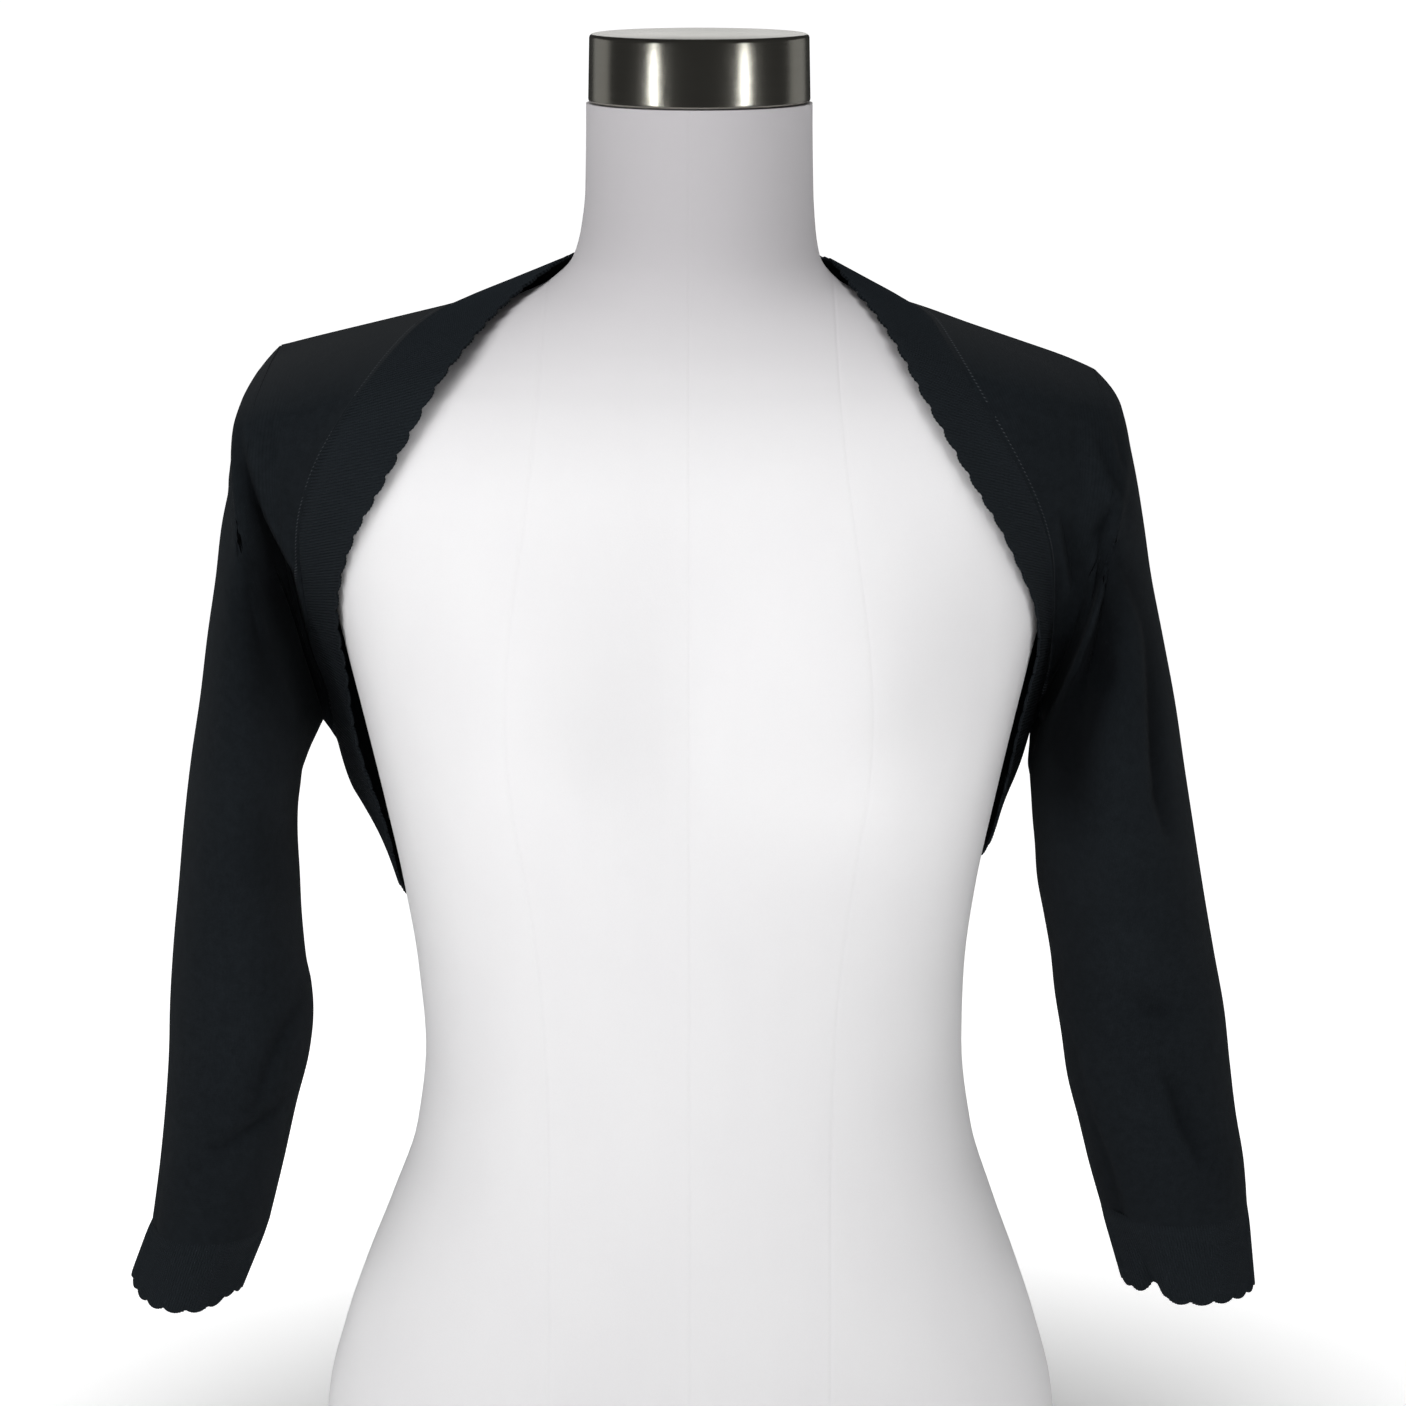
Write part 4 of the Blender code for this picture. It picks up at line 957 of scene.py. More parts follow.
# %% The folds' table
FoldRow = namedtuple("FoldRow", "start_turn start_ring end_turn end_ring half_width depth")
FOLDS_LEFT = [
    FoldRow(0, 1.2, 0, 2.6, 34, 2.4),
    FoldRow(360, 1.2, 360, 2.6, 34, 2.4),
    FoldRow(268, 2.0, 235, 8.0, 16, 5.0),
    FoldRow(300, 4.5, 322, 9.0, 10, -2.0),
    FoldRow(215, 11.0, 285, 13.0, 12, 3.5),
    FoldRow(285, 13.0, 318, 15.0, 8, 2.0),
    FoldRow(232, 9.0, 205, 11.5, 9, -2.2),
]
FOLDS_RIGHT = [
    FoldRow(268, 2.0, 240, 8.0, 16, 5.0),
    FoldRow(310, 3.5, 296, 7.5, 9, -1.8),
    FoldRow(230, 11.0, 285, 13.4, 12, 3.5),
    FoldRow(285, 13.4, 300, 15.2, 8, 2.4),
    FoldRow(214, 8.0, 236, 10.6, 9, 2.4),
]
FOLD_SPREAD = 0.6
FOLD_AT_ENDS = 0.45
TURN_LENGTH = 0.68
RING_LENGTH = 23.0


def fold_depth(folds, turn, ring):
    """How far the folds draw a place of a sleeve inwards."""
    depth = 0.0
    for fold in folds:
        along_turn = (fold.end_turn - fold.start_turn) * TURN_LENGTH
        along_ring = (fold.end_ring - fold.start_ring) * RING_LENGTH
        from_turn = (turn - fold.start_turn) * TURN_LENGTH
        from_ring = (ring - fold.start_ring) * RING_LENGTH
        length = math.hypot(along_turn, along_ring)
        part = (from_turn * along_turn + from_ring * along_ring) / length**2
        near = min(max(part, 0), 1)
        aside = math.hypot(from_turn - near * along_turn, from_ring - near * along_ring)
        strength = math.exp(-0.5 * (aside / (FOLD_SPREAD * fold.half_width)) ** 2)
        ends = FOLD_AT_ENDS + (1 - FOLD_AT_ENDS) * math.sin(math.pi * near)
        depth += fold.depth * strength * ends
    return depth


print("folds:", len(FOLDS_LEFT), "left and", len(FOLDS_RIGHT), "right")

# %% [markdown]
# ## Creases seen from the front
# Where cloth doubles over itself, a fold has a sharp lip on one side and fades softly on the other.
# Each crease below is a line on the front of the garment, as x, height and depth in millimetres.
# The cloth sinks on the named side of the line, so the front panel's lip stands over the dark
# hollow beside the armhole. How deep each place sinks is kept too, and the knit's colour is painted
# darker there, as painted shade in the creases.

# %% The creases' table
Crease = namedtuple("Crease", "side lip soft stations")
CREASES_LEFT = [
    Crease("left", 2.5, 4.5, [
        (-196, 524, 0), (-193, 509, 2.5), (-189, 495, 5.5), (-185, 482, 7.5), (-180, 470, 8),
        (-174, 456, 6), (-173, 447, 3), (-171, 430, 0),
    ]),
    Crease("left", 4, 13, [
        (-184, 480, 0), (-180, 470, 3), (-174, 456, 8), (-173, 447, 11), (-171, 430, 14),
        (-168, 412, 14), (-165, 401, 12), (-162, 391, 9), (-160, 376, 2),
    ]),
    Crease("both", 0, 3, [
        (-179, 404, 0), (-182, 382, 1.6), (-183, 359, 0),
    ]),
    Crease("both", 0, 6, [
        (-191, 359, 0), (-185, 332, 3), (-180, 307, 3.2), (-176, 284, 1),
    ]),
    Crease("both", 0, 2.6, [
        (-174, 272, 1), (-179, 258, 2.6), (-187, 245, 2.8), (-192, 232, 2.4), (-196, 219, 1.6),
        (-201, 208, 0),
    ]),
    Crease("both", 0, 2.2, [
        (-181, 219, 0.5), (-191, 211, 2.2), (-200, 205, 2.4), (-210, 199, 1.8), (-222, 194, 0),
    ]),
    Crease("both", 0, 1.6, [
        (-185, 528, 0), (-183, 516, 0.9), (-180, 502, 0),
    ]),
    Crease("both", 0, 1.6, [
        (-175, 499, 0), (-175, 490, 0.8), (-173, 481, 0),
    ]),
    Crease("left", 2, 14, [
        (-237, 181, 0), (-240, 163, 3), (-242, 144, 5), (-242, 118, 6),
    ]),
]
CREASES_RIGHT = [
    Crease("right", 3, 9, [
        (174, 482, 0), (173, 465, 3), (173, 447, 6), (172, 433, 9), (169, 424, 11),
        (166, 412, 12), (160, 401, 12), (154, 388, 12), (149, 376, 10), (147, 369, 5),
    ]),
    Crease("right", 2, 5, [
        (155, 488, 0), (158, 473, 3.4), (161, 458, 3.4), (165, 443, 0),
    ]),
    Crease("right", 1.6, 4, [
        (170, 519, 0), (173, 511, 2.4), (178, 498, 3), (184, 489, 3), (187, 474, 0),
    ]),
    Crease("right", 1.6, 5, [
        (178, 524, 0), (181, 514, 3), (184, 503, 3.4), (189, 490, 0),
    ]),
    Crease("both", 0, 2.6, [
        (182, 490, 0), (179, 483, 3), (175, 476, 3.6), (173, 469, 1.6),
    ]),
    Crease("right", 2.2, 7, [
        (180, 466, 0), (185, 454, 3.4), (189, 444, 4.2), (193, 433, 4.6), (195, 421, 5.6),
        (196, 401, 6.4), (197, 378, 6), (199, 356, 4.8), (204, 341, 3), (211, 328, 0),
    ]),
    Crease("both", 0, 3.6, [
        (171, 434, 0), (176, 422, 3), (181, 413, 3), (185, 405, 0),
    ]),
    Crease("both", 0, 10, [
        (172, 426, 0), (167, 401, 6), (163, 382, 8), (161, 359, 7), (160, 330, 0),
    ]),
    Crease("both", 0, 4, [
        (189, 278, 0), (199, 265, 1.7), (208, 259, 1.9), (219, 255, 0),
    ]),
    Crease("right", 2.5, 6, [
        (204, 239, 0), (209, 221, 2.6), (213, 207, 3.2), (220, 193, 2.6), (227, 181, 0),
    ]),
    Crease("left", 1.6, 10, [
        (168, 252, 0), (174, 236, 1.6), (178, 218, 2.2), (183, 203, 2.4), (189, 188, 2.6),
        (193, 175, 2.8), (196, 161, 3), (201, 146, 3.4), (206, 131, 3.6),
    ]),
]
CREASES = {"left": CREASES_LEFT, "right": CREASES_RIGHT}
FACING = 1.3
# DEEP is the crease depth, in millimetres, at which the painted shade in a crease is at its
# darkest.
DEEP = 6.5


def crease_depth(crease, x, z):
    """How deep one crease is at a place of the front."""
    reach = crease.lip + 3 * crease.soft
    best = None
    for start, end in zip(crease.stations, crease.stations[1:]):
        if min(start[0], end[0]) - reach > x or max(start[0], end[0]) + reach < x:
            continue
        if min(start[1], end[1]) - reach > z or max(start[1], end[1]) + reach < z:
            continue
        along_x = end[0] - start[0]
        along_z = end[1] - start[1]
        square = along_x**2 + along_z**2
        part = ((x - start[0]) * along_x + (z - start[1]) * along_z) / square
        part = min(max(part, 0), 1)
        aside_x = x - start[0] - part * along_x
        aside_z = z - start[1] - part * along_z
        distance = math.hypot(aside_x, aside_z)
        if best is None or distance < best[0]:
            to_left = (along_x * aside_z - along_z * aside_x) < 0
            best = (distance, to_left, start[2] + (end[2] - start[2]) * part)
    if best is None:
        return 0.0
    distance, to_left, depth = best
    if crease.side != "both" and to_left != (crease.side == "left"):
        return 0.0
    lip = 1.0
    if crease.lip > 0:
        share = min(distance / crease.lip, 1)
        lip = share * share * (3 - 2 * share)
    beyond = max(distance - crease.lip, 0)
    return depth * lip * math.exp(-0.5 * (beyond / crease.soft) ** 2)


def creased(net, wraps, is_tube, side):
    """The net with the front's creases pressed in where it faces forwards, and how deep, as the
    share of painted shade for the knit's colour.
    """
    normals = outward_normals(net, wraps, is_tube)
    pressed = []
    painted_crease_shade = []
    for i, row in enumerate(net):
        line = []
        shares = []
        for j, point in enumerate(row):
            faces = min(max(-normals[i][j].y * FACING, 0), 1)
            depth = 0.0
            if faces > 0:
                depth = sum(crease_depth(crease, point.x, point.z) for crease in CREASES[side])
            line.append(point + Vector((0, depth * faces, 0)))
            # The share of painted shade: deeper creases are painted darker.
            shares.append(min(depth * faces / DEEP, 1))
        pressed.append(line)
        painted_crease_shade.append(shares)
    return pressed, painted_crease_shade


print("creases:", len(CREASES_LEFT), "left and", len(CREASES_RIGHT), "right")

# %% Folded sleeves
ARMHOLE_STILL = 0.8
CUFF_STILL = 0.6


def folded_sleeve(side):
    """A sleeve's fine net with its folds drawn in, still at the armhole and the cuff."""
    folds = FOLDS_LEFT if side == "left" else FOLDS_RIGHT
    last = len(sleeve_nets[side]) - 1
    fine = fine_nets["sleeve_" + side]
    normals = outward_normals(fine, True, True)
    for i, row in enumerate(fine):
        ring = i / SLEEVE_ROWS_EACH
        still = min(1, ring / ARMHOLE_STILL, (last - ring) / CUFF_STILL)
        still = still * still * (3 - 2 * still)
        for j in range(SLEEVE_TURNS):
            depth = fold_depth(folds, 360 * j / SLEEVE_TURNS, ring) * still
            row[j] = row[j] - normals[i][j] * depth
    return fine


# For each front and sleeve, the share of painted shade in its creases, kept for the knit's colour.
painted_crease_shades = {}
for side in ("left", "right"):
    name = "sleeve_" + side
    fine_nets[name], painted_crease_shades[name] = creased(folded_sleeve(side), True, True, side)
    name = "front_" + side
    fine_nets[name], painted_crease_shades[name] = creased(fine_nets[name], False, False, side)
print("a sleeve has", len(fine_nets["sleeve_left"]), "rings of", SLEEVE_TURNS)

# %% [markdown]
# ## From a net to a sheet of cloth
#
# A grid is the right start for cloth: its rows and columns become the rows and columns
# of stitches, and its UV map says where each stitch lies. The grid's points are moved
# onto the net, a tube's two side edges are welded, and a Solidify modifier gives the
# cloth its thickness. The UV map is kept in millimetres of cloth, so one knit pattern
# has the same gauge on every piece.

# %% Make a cloth sheet
CLOTH = 1.2


def mean_length(lines):
    """The mean length of some lines of points."""
    total = 0.0
    for line in lines:
        total += sum((after - before).length for before, after in zip(line, line[1:]))
    return total / len(lines)


def net_size(net, wraps):
    """Width across and length down a net, in millimetres of cloth."""
    rows = [row + row[:1] for row in net] if wraps else net
    return mean_length(rows), mean_length([list(line) for line in zip(*net)])


def grid_mesh(name, net, wraps, layers=None):
    """A grid with its points on the net, welded into a tube where it wraps."""
    rows = len(net) - 1
    columns = len(net[0]) if wraps else len(net[0]) - 1
    bm = bmesh.new()
    uv = bm.loops.layers.uv.new("UVMap")
    bmesh.ops.create_grid(bm, x_segments=columns, y_segments=rows, size=1, calc_uvs=True)
    width, length = net_size(net, wraps)
    for face in bm.faces:
        for loop in face.loops:
            u, v = loop[uv].uv
            loop[uv].uv = (u * width, (1 - v) * length)
    values = {key: bm.verts.layers.float.new(key) for key in (layers or {})}
    for vertex in bm.verts:
        column = round((vertex.co.x + 1) / 2 * columns)
        row = round((1 - vertex.co.y) / 2 * rows)
        for key, layer in values.items():
            vertex[layer] = layers[key](row, column)
        vertex.co = net[row][column % len(net[0])] * MM
    if wraps:
        rim = [vertex for vertex in bm.verts if vertex.is_boundary]
        bmesh.ops.remove_doubles(bm, verts=rim, dist=1e-7)
    turn_outwards(bm, net, wraps)
    for edge in bm.edges:
        edge.smooth = not edge.is_boundary
    mesh = bpy.data.meshes.new(name)
    bm.to_mesh(mesh)
    bm.free()
    mesh.shade_smooth()
    piece = bpy.data.objects.new(name, mesh)
    bpy.context.scene.collection.objects.link(piece)
    return piece


def turn_outwards(bm, net, wraps):
    """Reverse the faces where they point at the middle of the tube or of the form."""
    bm.normal_update()
    towards = 0.0
    for face in bm.faces:
        centre = face.calc_center_median()
        middle = Vector((0, 0, centre.z))
        if wraps:
            share = (centre.z - net[-1][0].z * MM) / ((net[0][0].z - net[-1][0].z) * MM)
            row = net[min(max(round((1 - share) * (len(net) - 1)), 0), len(net) - 1)]
            middle = sum(row, Vector()) / len(row) * MM
        towards += face.normal.dot(centre - middle) * face.calc_area()
    if towards < 0:
        bmesh.ops.reverse_faces(bm, faces=bm.faces)


def thicken(piece, thickness=CLOTH):
    """Give a sheet its thickness, outwards from the net that it lies on."""
    wall = piece.modifiers.new("cloth", "SOLIDIFY")
    wall.thickness = thickness * MM
    wall.offset = 1
    wall.use_even_offset = False
    return piece


def triangles(piece):
    """How many triangles a piece shows, its modifiers included."""
    shown = piece.evaluated_get(bpy.context.evaluated_depsgraph_get())
    return sum(len(polygon.vertices) - 2 for polygon in shown.data.polygons)


print("cloth is", CLOTH, "mm thick")

# %% [markdown]
# ## Shader maths that reads like maths
#
# Patterns are sums and products of waves. In a node tree each of them is a Math node, and
# a long chain of nodes is hard to read. This small class wraps a socket, so that plus,
# minus and times make the Math nodes.

# %% The shader helper
class Flow:
    """A value that flows out of a socket."""

    def __init__(self, paint, socket):
        self.paint = paint
        self.socket = socket

    def maths(self, operation, *others):
        return self.paint.maths(operation, self, *others)

    def __add__(self, other):
        return self.maths("ADD", other)

    def __radd__(self, other):
        return self.maths("ADD", other)

    def __sub__(self, other):
        return self.maths("SUBTRACT", other)

    def __rsub__(self, other):
        return self.paint.maths("SUBTRACT", other, self)

    def __mul__(self, other):
        return self.maths("MULTIPLY", other)

    def __rmul__(self, other):
        return self.maths("MULTIPLY", other)

    def __truediv__(self, other):
        return self.maths("DIVIDE", other)

    def __rtruediv__(self, other):
        return self.paint.maths("DIVIDE", other, self)

    def __pow__(self, other):
        return self.maths("POWER", other)

    def sine(self):
        return self.maths("SINE")

    def size(self):
        return self.maths("ABSOLUTE")

    def fraction(self):
        return self.maths("FRACT")

    def bell(self, width):
        """1 where the value is 0, falling off softly over the width."""
        return self.paint.maths("EXPONENT", (self / width) ** 2 * -1)


class Paint:
    """A new material with its Principled shader and its nodes."""

    def __init__(self, name, settings):
        self.material = bpy.data.materials.new(name)
        self.material.use_nodes = True
        self.tree = self.material.node_tree
        self.shader = self.tree.nodes["Principled BSDF"]
        for key, value in settings.items():
            self.shader.inputs[key].default_value = value

    def node(self, kind, settings=None, inputs=None):
        """A node of a type, with its settings and its inputs filled in."""
        node = self.tree.nodes.new(kind)
        for key, value in (settings or {}).items():
            setattr(node, key, value)
        for key, value in (inputs or {}).items():
            self.fill(node.inputs[key], value)
        return node

    def fill(self, socket, value):
        if isinstance(value, Flow):
            self.tree.links.new(value.socket, socket)
        else:
            socket.default_value = value

    def flow(self, node, output=0):
        return Flow(self, node.outputs[output])

    def maths(self, operation, *values):
        inputs = dict(enumerate(values))
        return self.flow(self.node("ShaderNodeMath", {"operation": operation}, inputs))

    def parts(self, vector):
        """The x, y and z of a vector."""
        split = self.node("ShaderNodeSeparateXYZ", inputs={"Vector": vector})
        return [self.flow(split, k) for k in range(3)]

    def place(self, kind="Object"):
        return self.flow(self.node("ShaderNodeTexCoord"), kind)

    def noise(self, vector, scale, detail=3.0, roughness=0.5, stretch=None):
        """Soft noise between 0 and 1, stretched along its axes if asked."""
        if stretch:
            turned = self.node("ShaderNodeMapping", inputs={"Vector": vector, "Scale": stretch})
            vector = self.flow(turned)
        inputs = {"Vector": vector, "Scale": scale, "Detail": detail, "Roughness": roughness}
        return self.flow(self.node("ShaderNodeTexNoise", inputs=inputs))

    def colour(self, share, first, second):
        """A mixed colour as a flow."""
        mix = self.node("ShaderNodeMix", {"data_type": "RGBA", "clamp_factor": True})
        self.fill(mix.inputs[0], share)
        self.fill(mix.inputs[6], first)
        self.fill(mix.inputs[7], second)
        return Flow(self, mix.outputs[2])

    def attribute(self, name):
        """A number that the mesh carries at its points."""
        settings = {"attribute_name": name, "attribute_type": "GEOMETRY"}
        return self.flow(self.node("ShaderNodeAttribute", settings), "Fac")

    def bump(self, height, distance, strength=1.0, normal=None):
        inputs = {"Height": height, "Distance": distance, "Strength": strength}
        if normal is not None:
            inputs["Normal"] = normal
        return self.flow(self.node("ShaderNodeBump", inputs=inputs))

    def finish(self, **sockets):
        """Link the flows into the shader, such as base_color or roughness."""
        for key, value in sockets.items():
            self.fill(self.shader.inputs[key.replace("_", " ").title()], value)
        return self.material


print("shader helper ready")

# %% [markdown]
# ## The black knit
#
# Fine plain knit is rows of small V stitches, stacked in columns called wales. Up close
# the columns read as fine lines, and from a step away only a soft, matte grain is left.
# The pattern is worked out from the UV map in millimetres. A little sheen stands for the fuzz of
# the yarn, which catches light at a glancing angle. The colour is also painted darker in the
# creases, as painted shade, and lighter over the shoulders and the tops of the sleeves, as a
# painted highlight of the light from above.

# %% Fine plain knit
FULL_TURN = 2 * math.pi
WALE = 0.95
COURSE = 0.7
KNIT_DARK = (0.0040, 0.0052, 0.0064, 1)
KNIT_LIGHT = (0.0120, 0.0150, 0.0180, 1)
# Painted shade for the creases.
KNIT_PAINTED_CREASE_SHADE = (0.0016, 0.0020, 0.0026, 1)
# Painted highlight over the shoulders and the tops of the sleeves, where the light from above
# falls. It starts on a line of the slope and height below, in metres.
KNIT_PAINTED_TOP_LIGHT = (0.0180, 0.0195, 0.0210, 1)
SHOULDER_SLOPE = 0.31
SHOULDER_HEIGHT = 0.580
STITCH_THREAD = (0.10, 0.11, 0.12, 1)
OVERLOCK_FROM_SEAM = 3.2
KNIT_FINISH = {
    "Roughness": 1.0,
    "Specular IOR Level": 0.07,
    "Sheen Weight": 0.015,
    "Sheen Roughness": 0.5,
    "Sheen Tint": (0.75, 0.8, 0.85, 1),
}


def knit_height(cloth, across, along, wale, course):
    """The relief of V stitches: 1 on a stitch and 0 between two wales."""
    from_middle = ((across / wale).fraction() - 0.5).size() * 2
    column = 1 - from_middle**3
    wave = ((along / course + from_middle * 0.55) * FULL_TURN).sine() * 0.5 + 0.5
    return column * (wave * 0.45 + 0.55)


def fine_knit(name, seamed):
    """Black plain knit with painted shade in the creases and a painted highlight over the
    shoulders, and the overlock row beside the band's seam where asked.
    """
    cloth = Paint(name, KNIT_FINISH)
    across, along, _ = cloth.parts(cloth.place("UV"))
    height = knit_height(cloth, across, along, WALE, COURSE)
    worn = cloth.noise(cloth.place(), 26, 4)
    fuzz = cloth.noise(cloth.place(), 900, 2)
    grain = cloth.noise(cloth.place(), 260, 3)
    share = height * 0.3 + worn * 0.35 + fuzz * 0.35 + grain * 0.5 - 0.3
    colour = cloth.colour(share, KNIT_DARK, KNIT_LIGHT)
    # Painted shade: the knit is painted darker where the creases sink in.
    colour = cloth.colour(cloth.attribute("painted_crease_shade") * 0.85, colour, KNIT_PAINTED_CREASE_SHADE)
    x, _, z = cloth.parts(cloth.place())
    # Painted highlight: the knit is painted lighter over the shoulders and the tops of the sleeves,
    # as light from above.
    painted_top_light = (z + x.size() * SHOULDER_SLOPE - SHOULDER_HEIGHT) * 45
    colour = cloth.colour(painted_top_light, colour, KNIT_PAINTED_TOP_LIGHT)
    relief = height * 0.45 + fuzz * 0.5 + grain * 0.4
    if seamed:
        from_seam = cloth.attribute("from_seam")
        along_seam = cloth.attribute("along_seam")
        row = (from_seam - OVERLOCK_FROM_SEAM).bell(0.55)
        thread = (along_seam * (FULL_TURN / 1.9)).sine().maths("MAXIMUM", 0) ** 2
        shows = cloth.noise(cloth.place(), 45, 1).maths("GREATER_THAN", 0.34)
        bright = (from_seam - OVERLOCK_FROM_SEAM).bell(0.45) * thread * shows
        colour = cloth.colour(bright * 0.55, colour, STITCH_THREAD)
        relief = relief + row * 1.0 + row * thread * 0.8
    normal = cloth.bump(relief, 0.00022, 0.6)
    return cloth.finish(base_color=colour, normal=normal)


knit = fine_knit("black fine knit", False)
seamed_knit = fine_knit("black fine knit with overlock", True)
print("wales are", WALE, "mm wide")

# %% [markdown]
# ## The black rib
#
# The band and the cuffs are knitted in rib. Their ridges are real geometry here, because
# they show in outline. The material only adds the stitches on each ridge and darkens the
# furrows, where little light comes in.

# %% Rib knit
RIB_PITCH = 1.75


def rib_knit(name):
    """Black rib knit, its ridges read from the mesh's own rib attribute."""
    cloth = Paint(name, KNIT_FINISH)
    rib = cloth.attribute("rib")
    across, along, _ = cloth.parts(cloth.place("UV"))
    stitch = ((along / COURSE) * FULL_TURN).sine() * 0.5 + 0.5
    fuzz = cloth.noise(cloth.place(), 900, 2)
    worn = cloth.noise(cloth.place(), 30, 3)
    share = rib * 0.9 + stitch * rib * 0.15 + worn * 0.25 + fuzz * 0.35 - 0.38
    colour = cloth.colour(share, KNIT_DARK, KNIT_LIGHT)
    normal = cloth.bump(stitch * rib * 0.8 + fuzz * 0.4, 0.0002, 0.7)
    return cloth.finish(base_color=colour, normal=normal)


rib = rib_knit("black rib knit")
print("ribs are about", RIB_PITCH, "mm apart")

# %% [markdown]
# ## White jersey, brushed steel and painted board
#
# The form is covered in smooth white jersey, drawn tight, with faint seams down its middle and over
# the bust. Its colour is painted a darker grey from the upper chest up the neck, as painted shade.
# The cap on its neck is metal brushed round and round, so its grain runs level. The board below is
# simply painted.

# %% The form's own finishes
JERSEY_LIGHT = (0.80, 0.795, 0.80, 1)
JERSEY_SHADE = (0.72, 0.71, 0.725, 1)
# Painted shade for the neck and the upper chest.
JERSEY_PAINTED_NECK_SHADE = (0.45, 0.435, 0.45, 1)


def white_jersey():
    """Tight white jersey with faint seams down the middle and over the bust, and painted shade
    towards the neck.
    """
    cloth = Paint("white jersey", {
        "Roughness": 0.78,
        "Specular IOR Level": 0.3,
        "Sheen Weight": 0.12,
        "Sheen Roughness": 0.5,
    })
    spot = cloth.place()
    x, y, z = cloth.parts(spot)
    middle = (x + 0.0022).bell(0.0007)
    over_bust = (z - 0.404).bell(0.1) * 0.016 + 0.062
    princess = ((x + 0.0022).size() - over_bust).bell(0.0008)
    seams = middle + princess
    grain = cloth.noise(spot, 1500, 2)
    pulls = cloth.noise(spot, 60, 3, stretch=(1.0, 1.0, 0.25))
    soft = cloth.noise(spot, 9, 2)
    share = soft * 0.6 + grain * 0.3 + pulls * 0.25 - seams * 0.12
    colour = cloth.colour(share, JERSEY_SHADE, JERSEY_LIGHT)
    # Painted shade: the jersey is painted a darker grey from the upper chest up the neck.
    neck = cloth.flow(cloth.node(
        "ShaderNodeMapRange",
        {"interpolation_type": "SMOOTHSTEP"},
        {"Value": z, "From Min": 0.490, "From Max": 0.610, "To Min": 0.0, "To Max": 1.0},
    ))
    colour = cloth.colour(neck, colour, JERSEY_PAINTED_NECK_SHADE)
    relief = grain * 0.25 + pulls * 0.5 - seams * 0.9
    normal = cloth.bump(relief, 0.00025, 0.5)
    return cloth.finish(base_color=colour, normal=normal)


def brushed_steel():
    """Metal with a level grain, rubbed brighter here and there."""
    metal = Paint("brushed steel", {"Metallic": 1.0})
    spot = metal.place()
    grain = metal.noise(spot, 60, 6, 0.7, stretch=(0.35, 0.35, 60))
    cloud = metal.noise(spot, 30, 3)
    colour = metal.colour(grain * 0.7 + cloud * 0.3, (0.52, 0.50, 0.43, 1), (0.75, 0.73, 0.65, 1))
    rough = grain * 0.1 + cloud * 0.06 + 0.13
    normal = metal.bump(grain, 0.00004, 0.6)
    return metal.finish(base_color=colour, roughness=rough, normal=normal)


def painted_board():
    """Off-white paint over board, with the faint pimples of a roller."""
    paint = Paint("painted board", {"Specular IOR Level": 0.45})
    spot = paint.place()
    pimples = paint.noise(spot, 700, 2)
    cloud = paint.noise(spot, 14, 3)
    colour = paint.colour(cloud, (0.66, 0.655, 0.64, 1), (0.74, 0.735, 0.72, 1))
    normal = paint.bump(pimples, 0.0001, 0.5)
    return paint.finish(base_color=colour, roughness=cloud * 0.15 + 0.42, normal=normal)


jersey = white_jersey()
steel = brushed_steel()
board_paint = painted_board()
print("finishes:", len(bpy.data.materials))

# %% [markdown]
# ## The form
#
# The solid form has few faces. This one is a fine grid rolled into a tube, its points
# moved onto the same ovals, so its outline is round from near by. Both open ends are
# filled, the upper one under the cap and the lower one on the board.

# %% Build the form
FORM_TURNS = 160
FORM_STEPS = 6


def dress(piece, material, node):
    """Give a piece its material and its place in the frame."""
    piece.data.materials.clear()
    piece.data.materials.append(material)
    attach(piece, "root")
    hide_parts(node)
    print(node, triangles(piece), "triangles")
    return piece


def form_net():
    """Fine rings of the form, from the neck down to the board."""
    heights = []
    for low, high in zip(FORM_ROWS, FORM_ROWS[1:]):
        for k in range(FORM_STEPS):
            heights.append(low.height + (high.height - low.height) * k / FORM_STEPS)
    heights.append(FORM_ROWS[-1].height)
    rings = []
    for height in reversed(heights):
        turns = [360 * column / FORM_TURNS for column in range(FORM_TURNS)]
        rings.append([form_point(turn, height) for turn in turns])
    return rings


def fill_ends(piece):
    """Close a tube's open ends."""
    bm = bmesh.new()
    bm.from_mesh(piece.data)
    rims = [edge for edge in bm.edges if edge.is_boundary]
    bmesh.ops.holes_fill(bm, edges=rims, sides=0)
    bmesh.ops.recalc_face_normals(bm, faces=bm.faces)
    bm.to_mesh(piece.data)
    bm.free()
    piece.data.shade_smooth()
    return piece


form_piece = fill_ends(grid_mesh("form_jersey", form_net(), True))
dress(form_piece, jersey, "form_torso")

# %% [markdown]
# ## The neck cap and the board
#
# Both are turned or sawn solids: a circle or the form's own outline, extruded upwards,
# with a small bevel on the edges that a hand would feel.

# %% Build the cap and the board
CAP_RADIUS = 48.6
CAP_TAPER = 0.6
CAP_BOTTOM = 657.3
CAP_TOP = 687.0
CAP_EDGE_ROUND = 1.8
CAP_SIDES = 128
BOARD_HEIGHT = 12.0
BOARD_OVERHANG = 3.0
BOARD_EDGE_ROUND = 3.0
BOARD_SIDES = 144


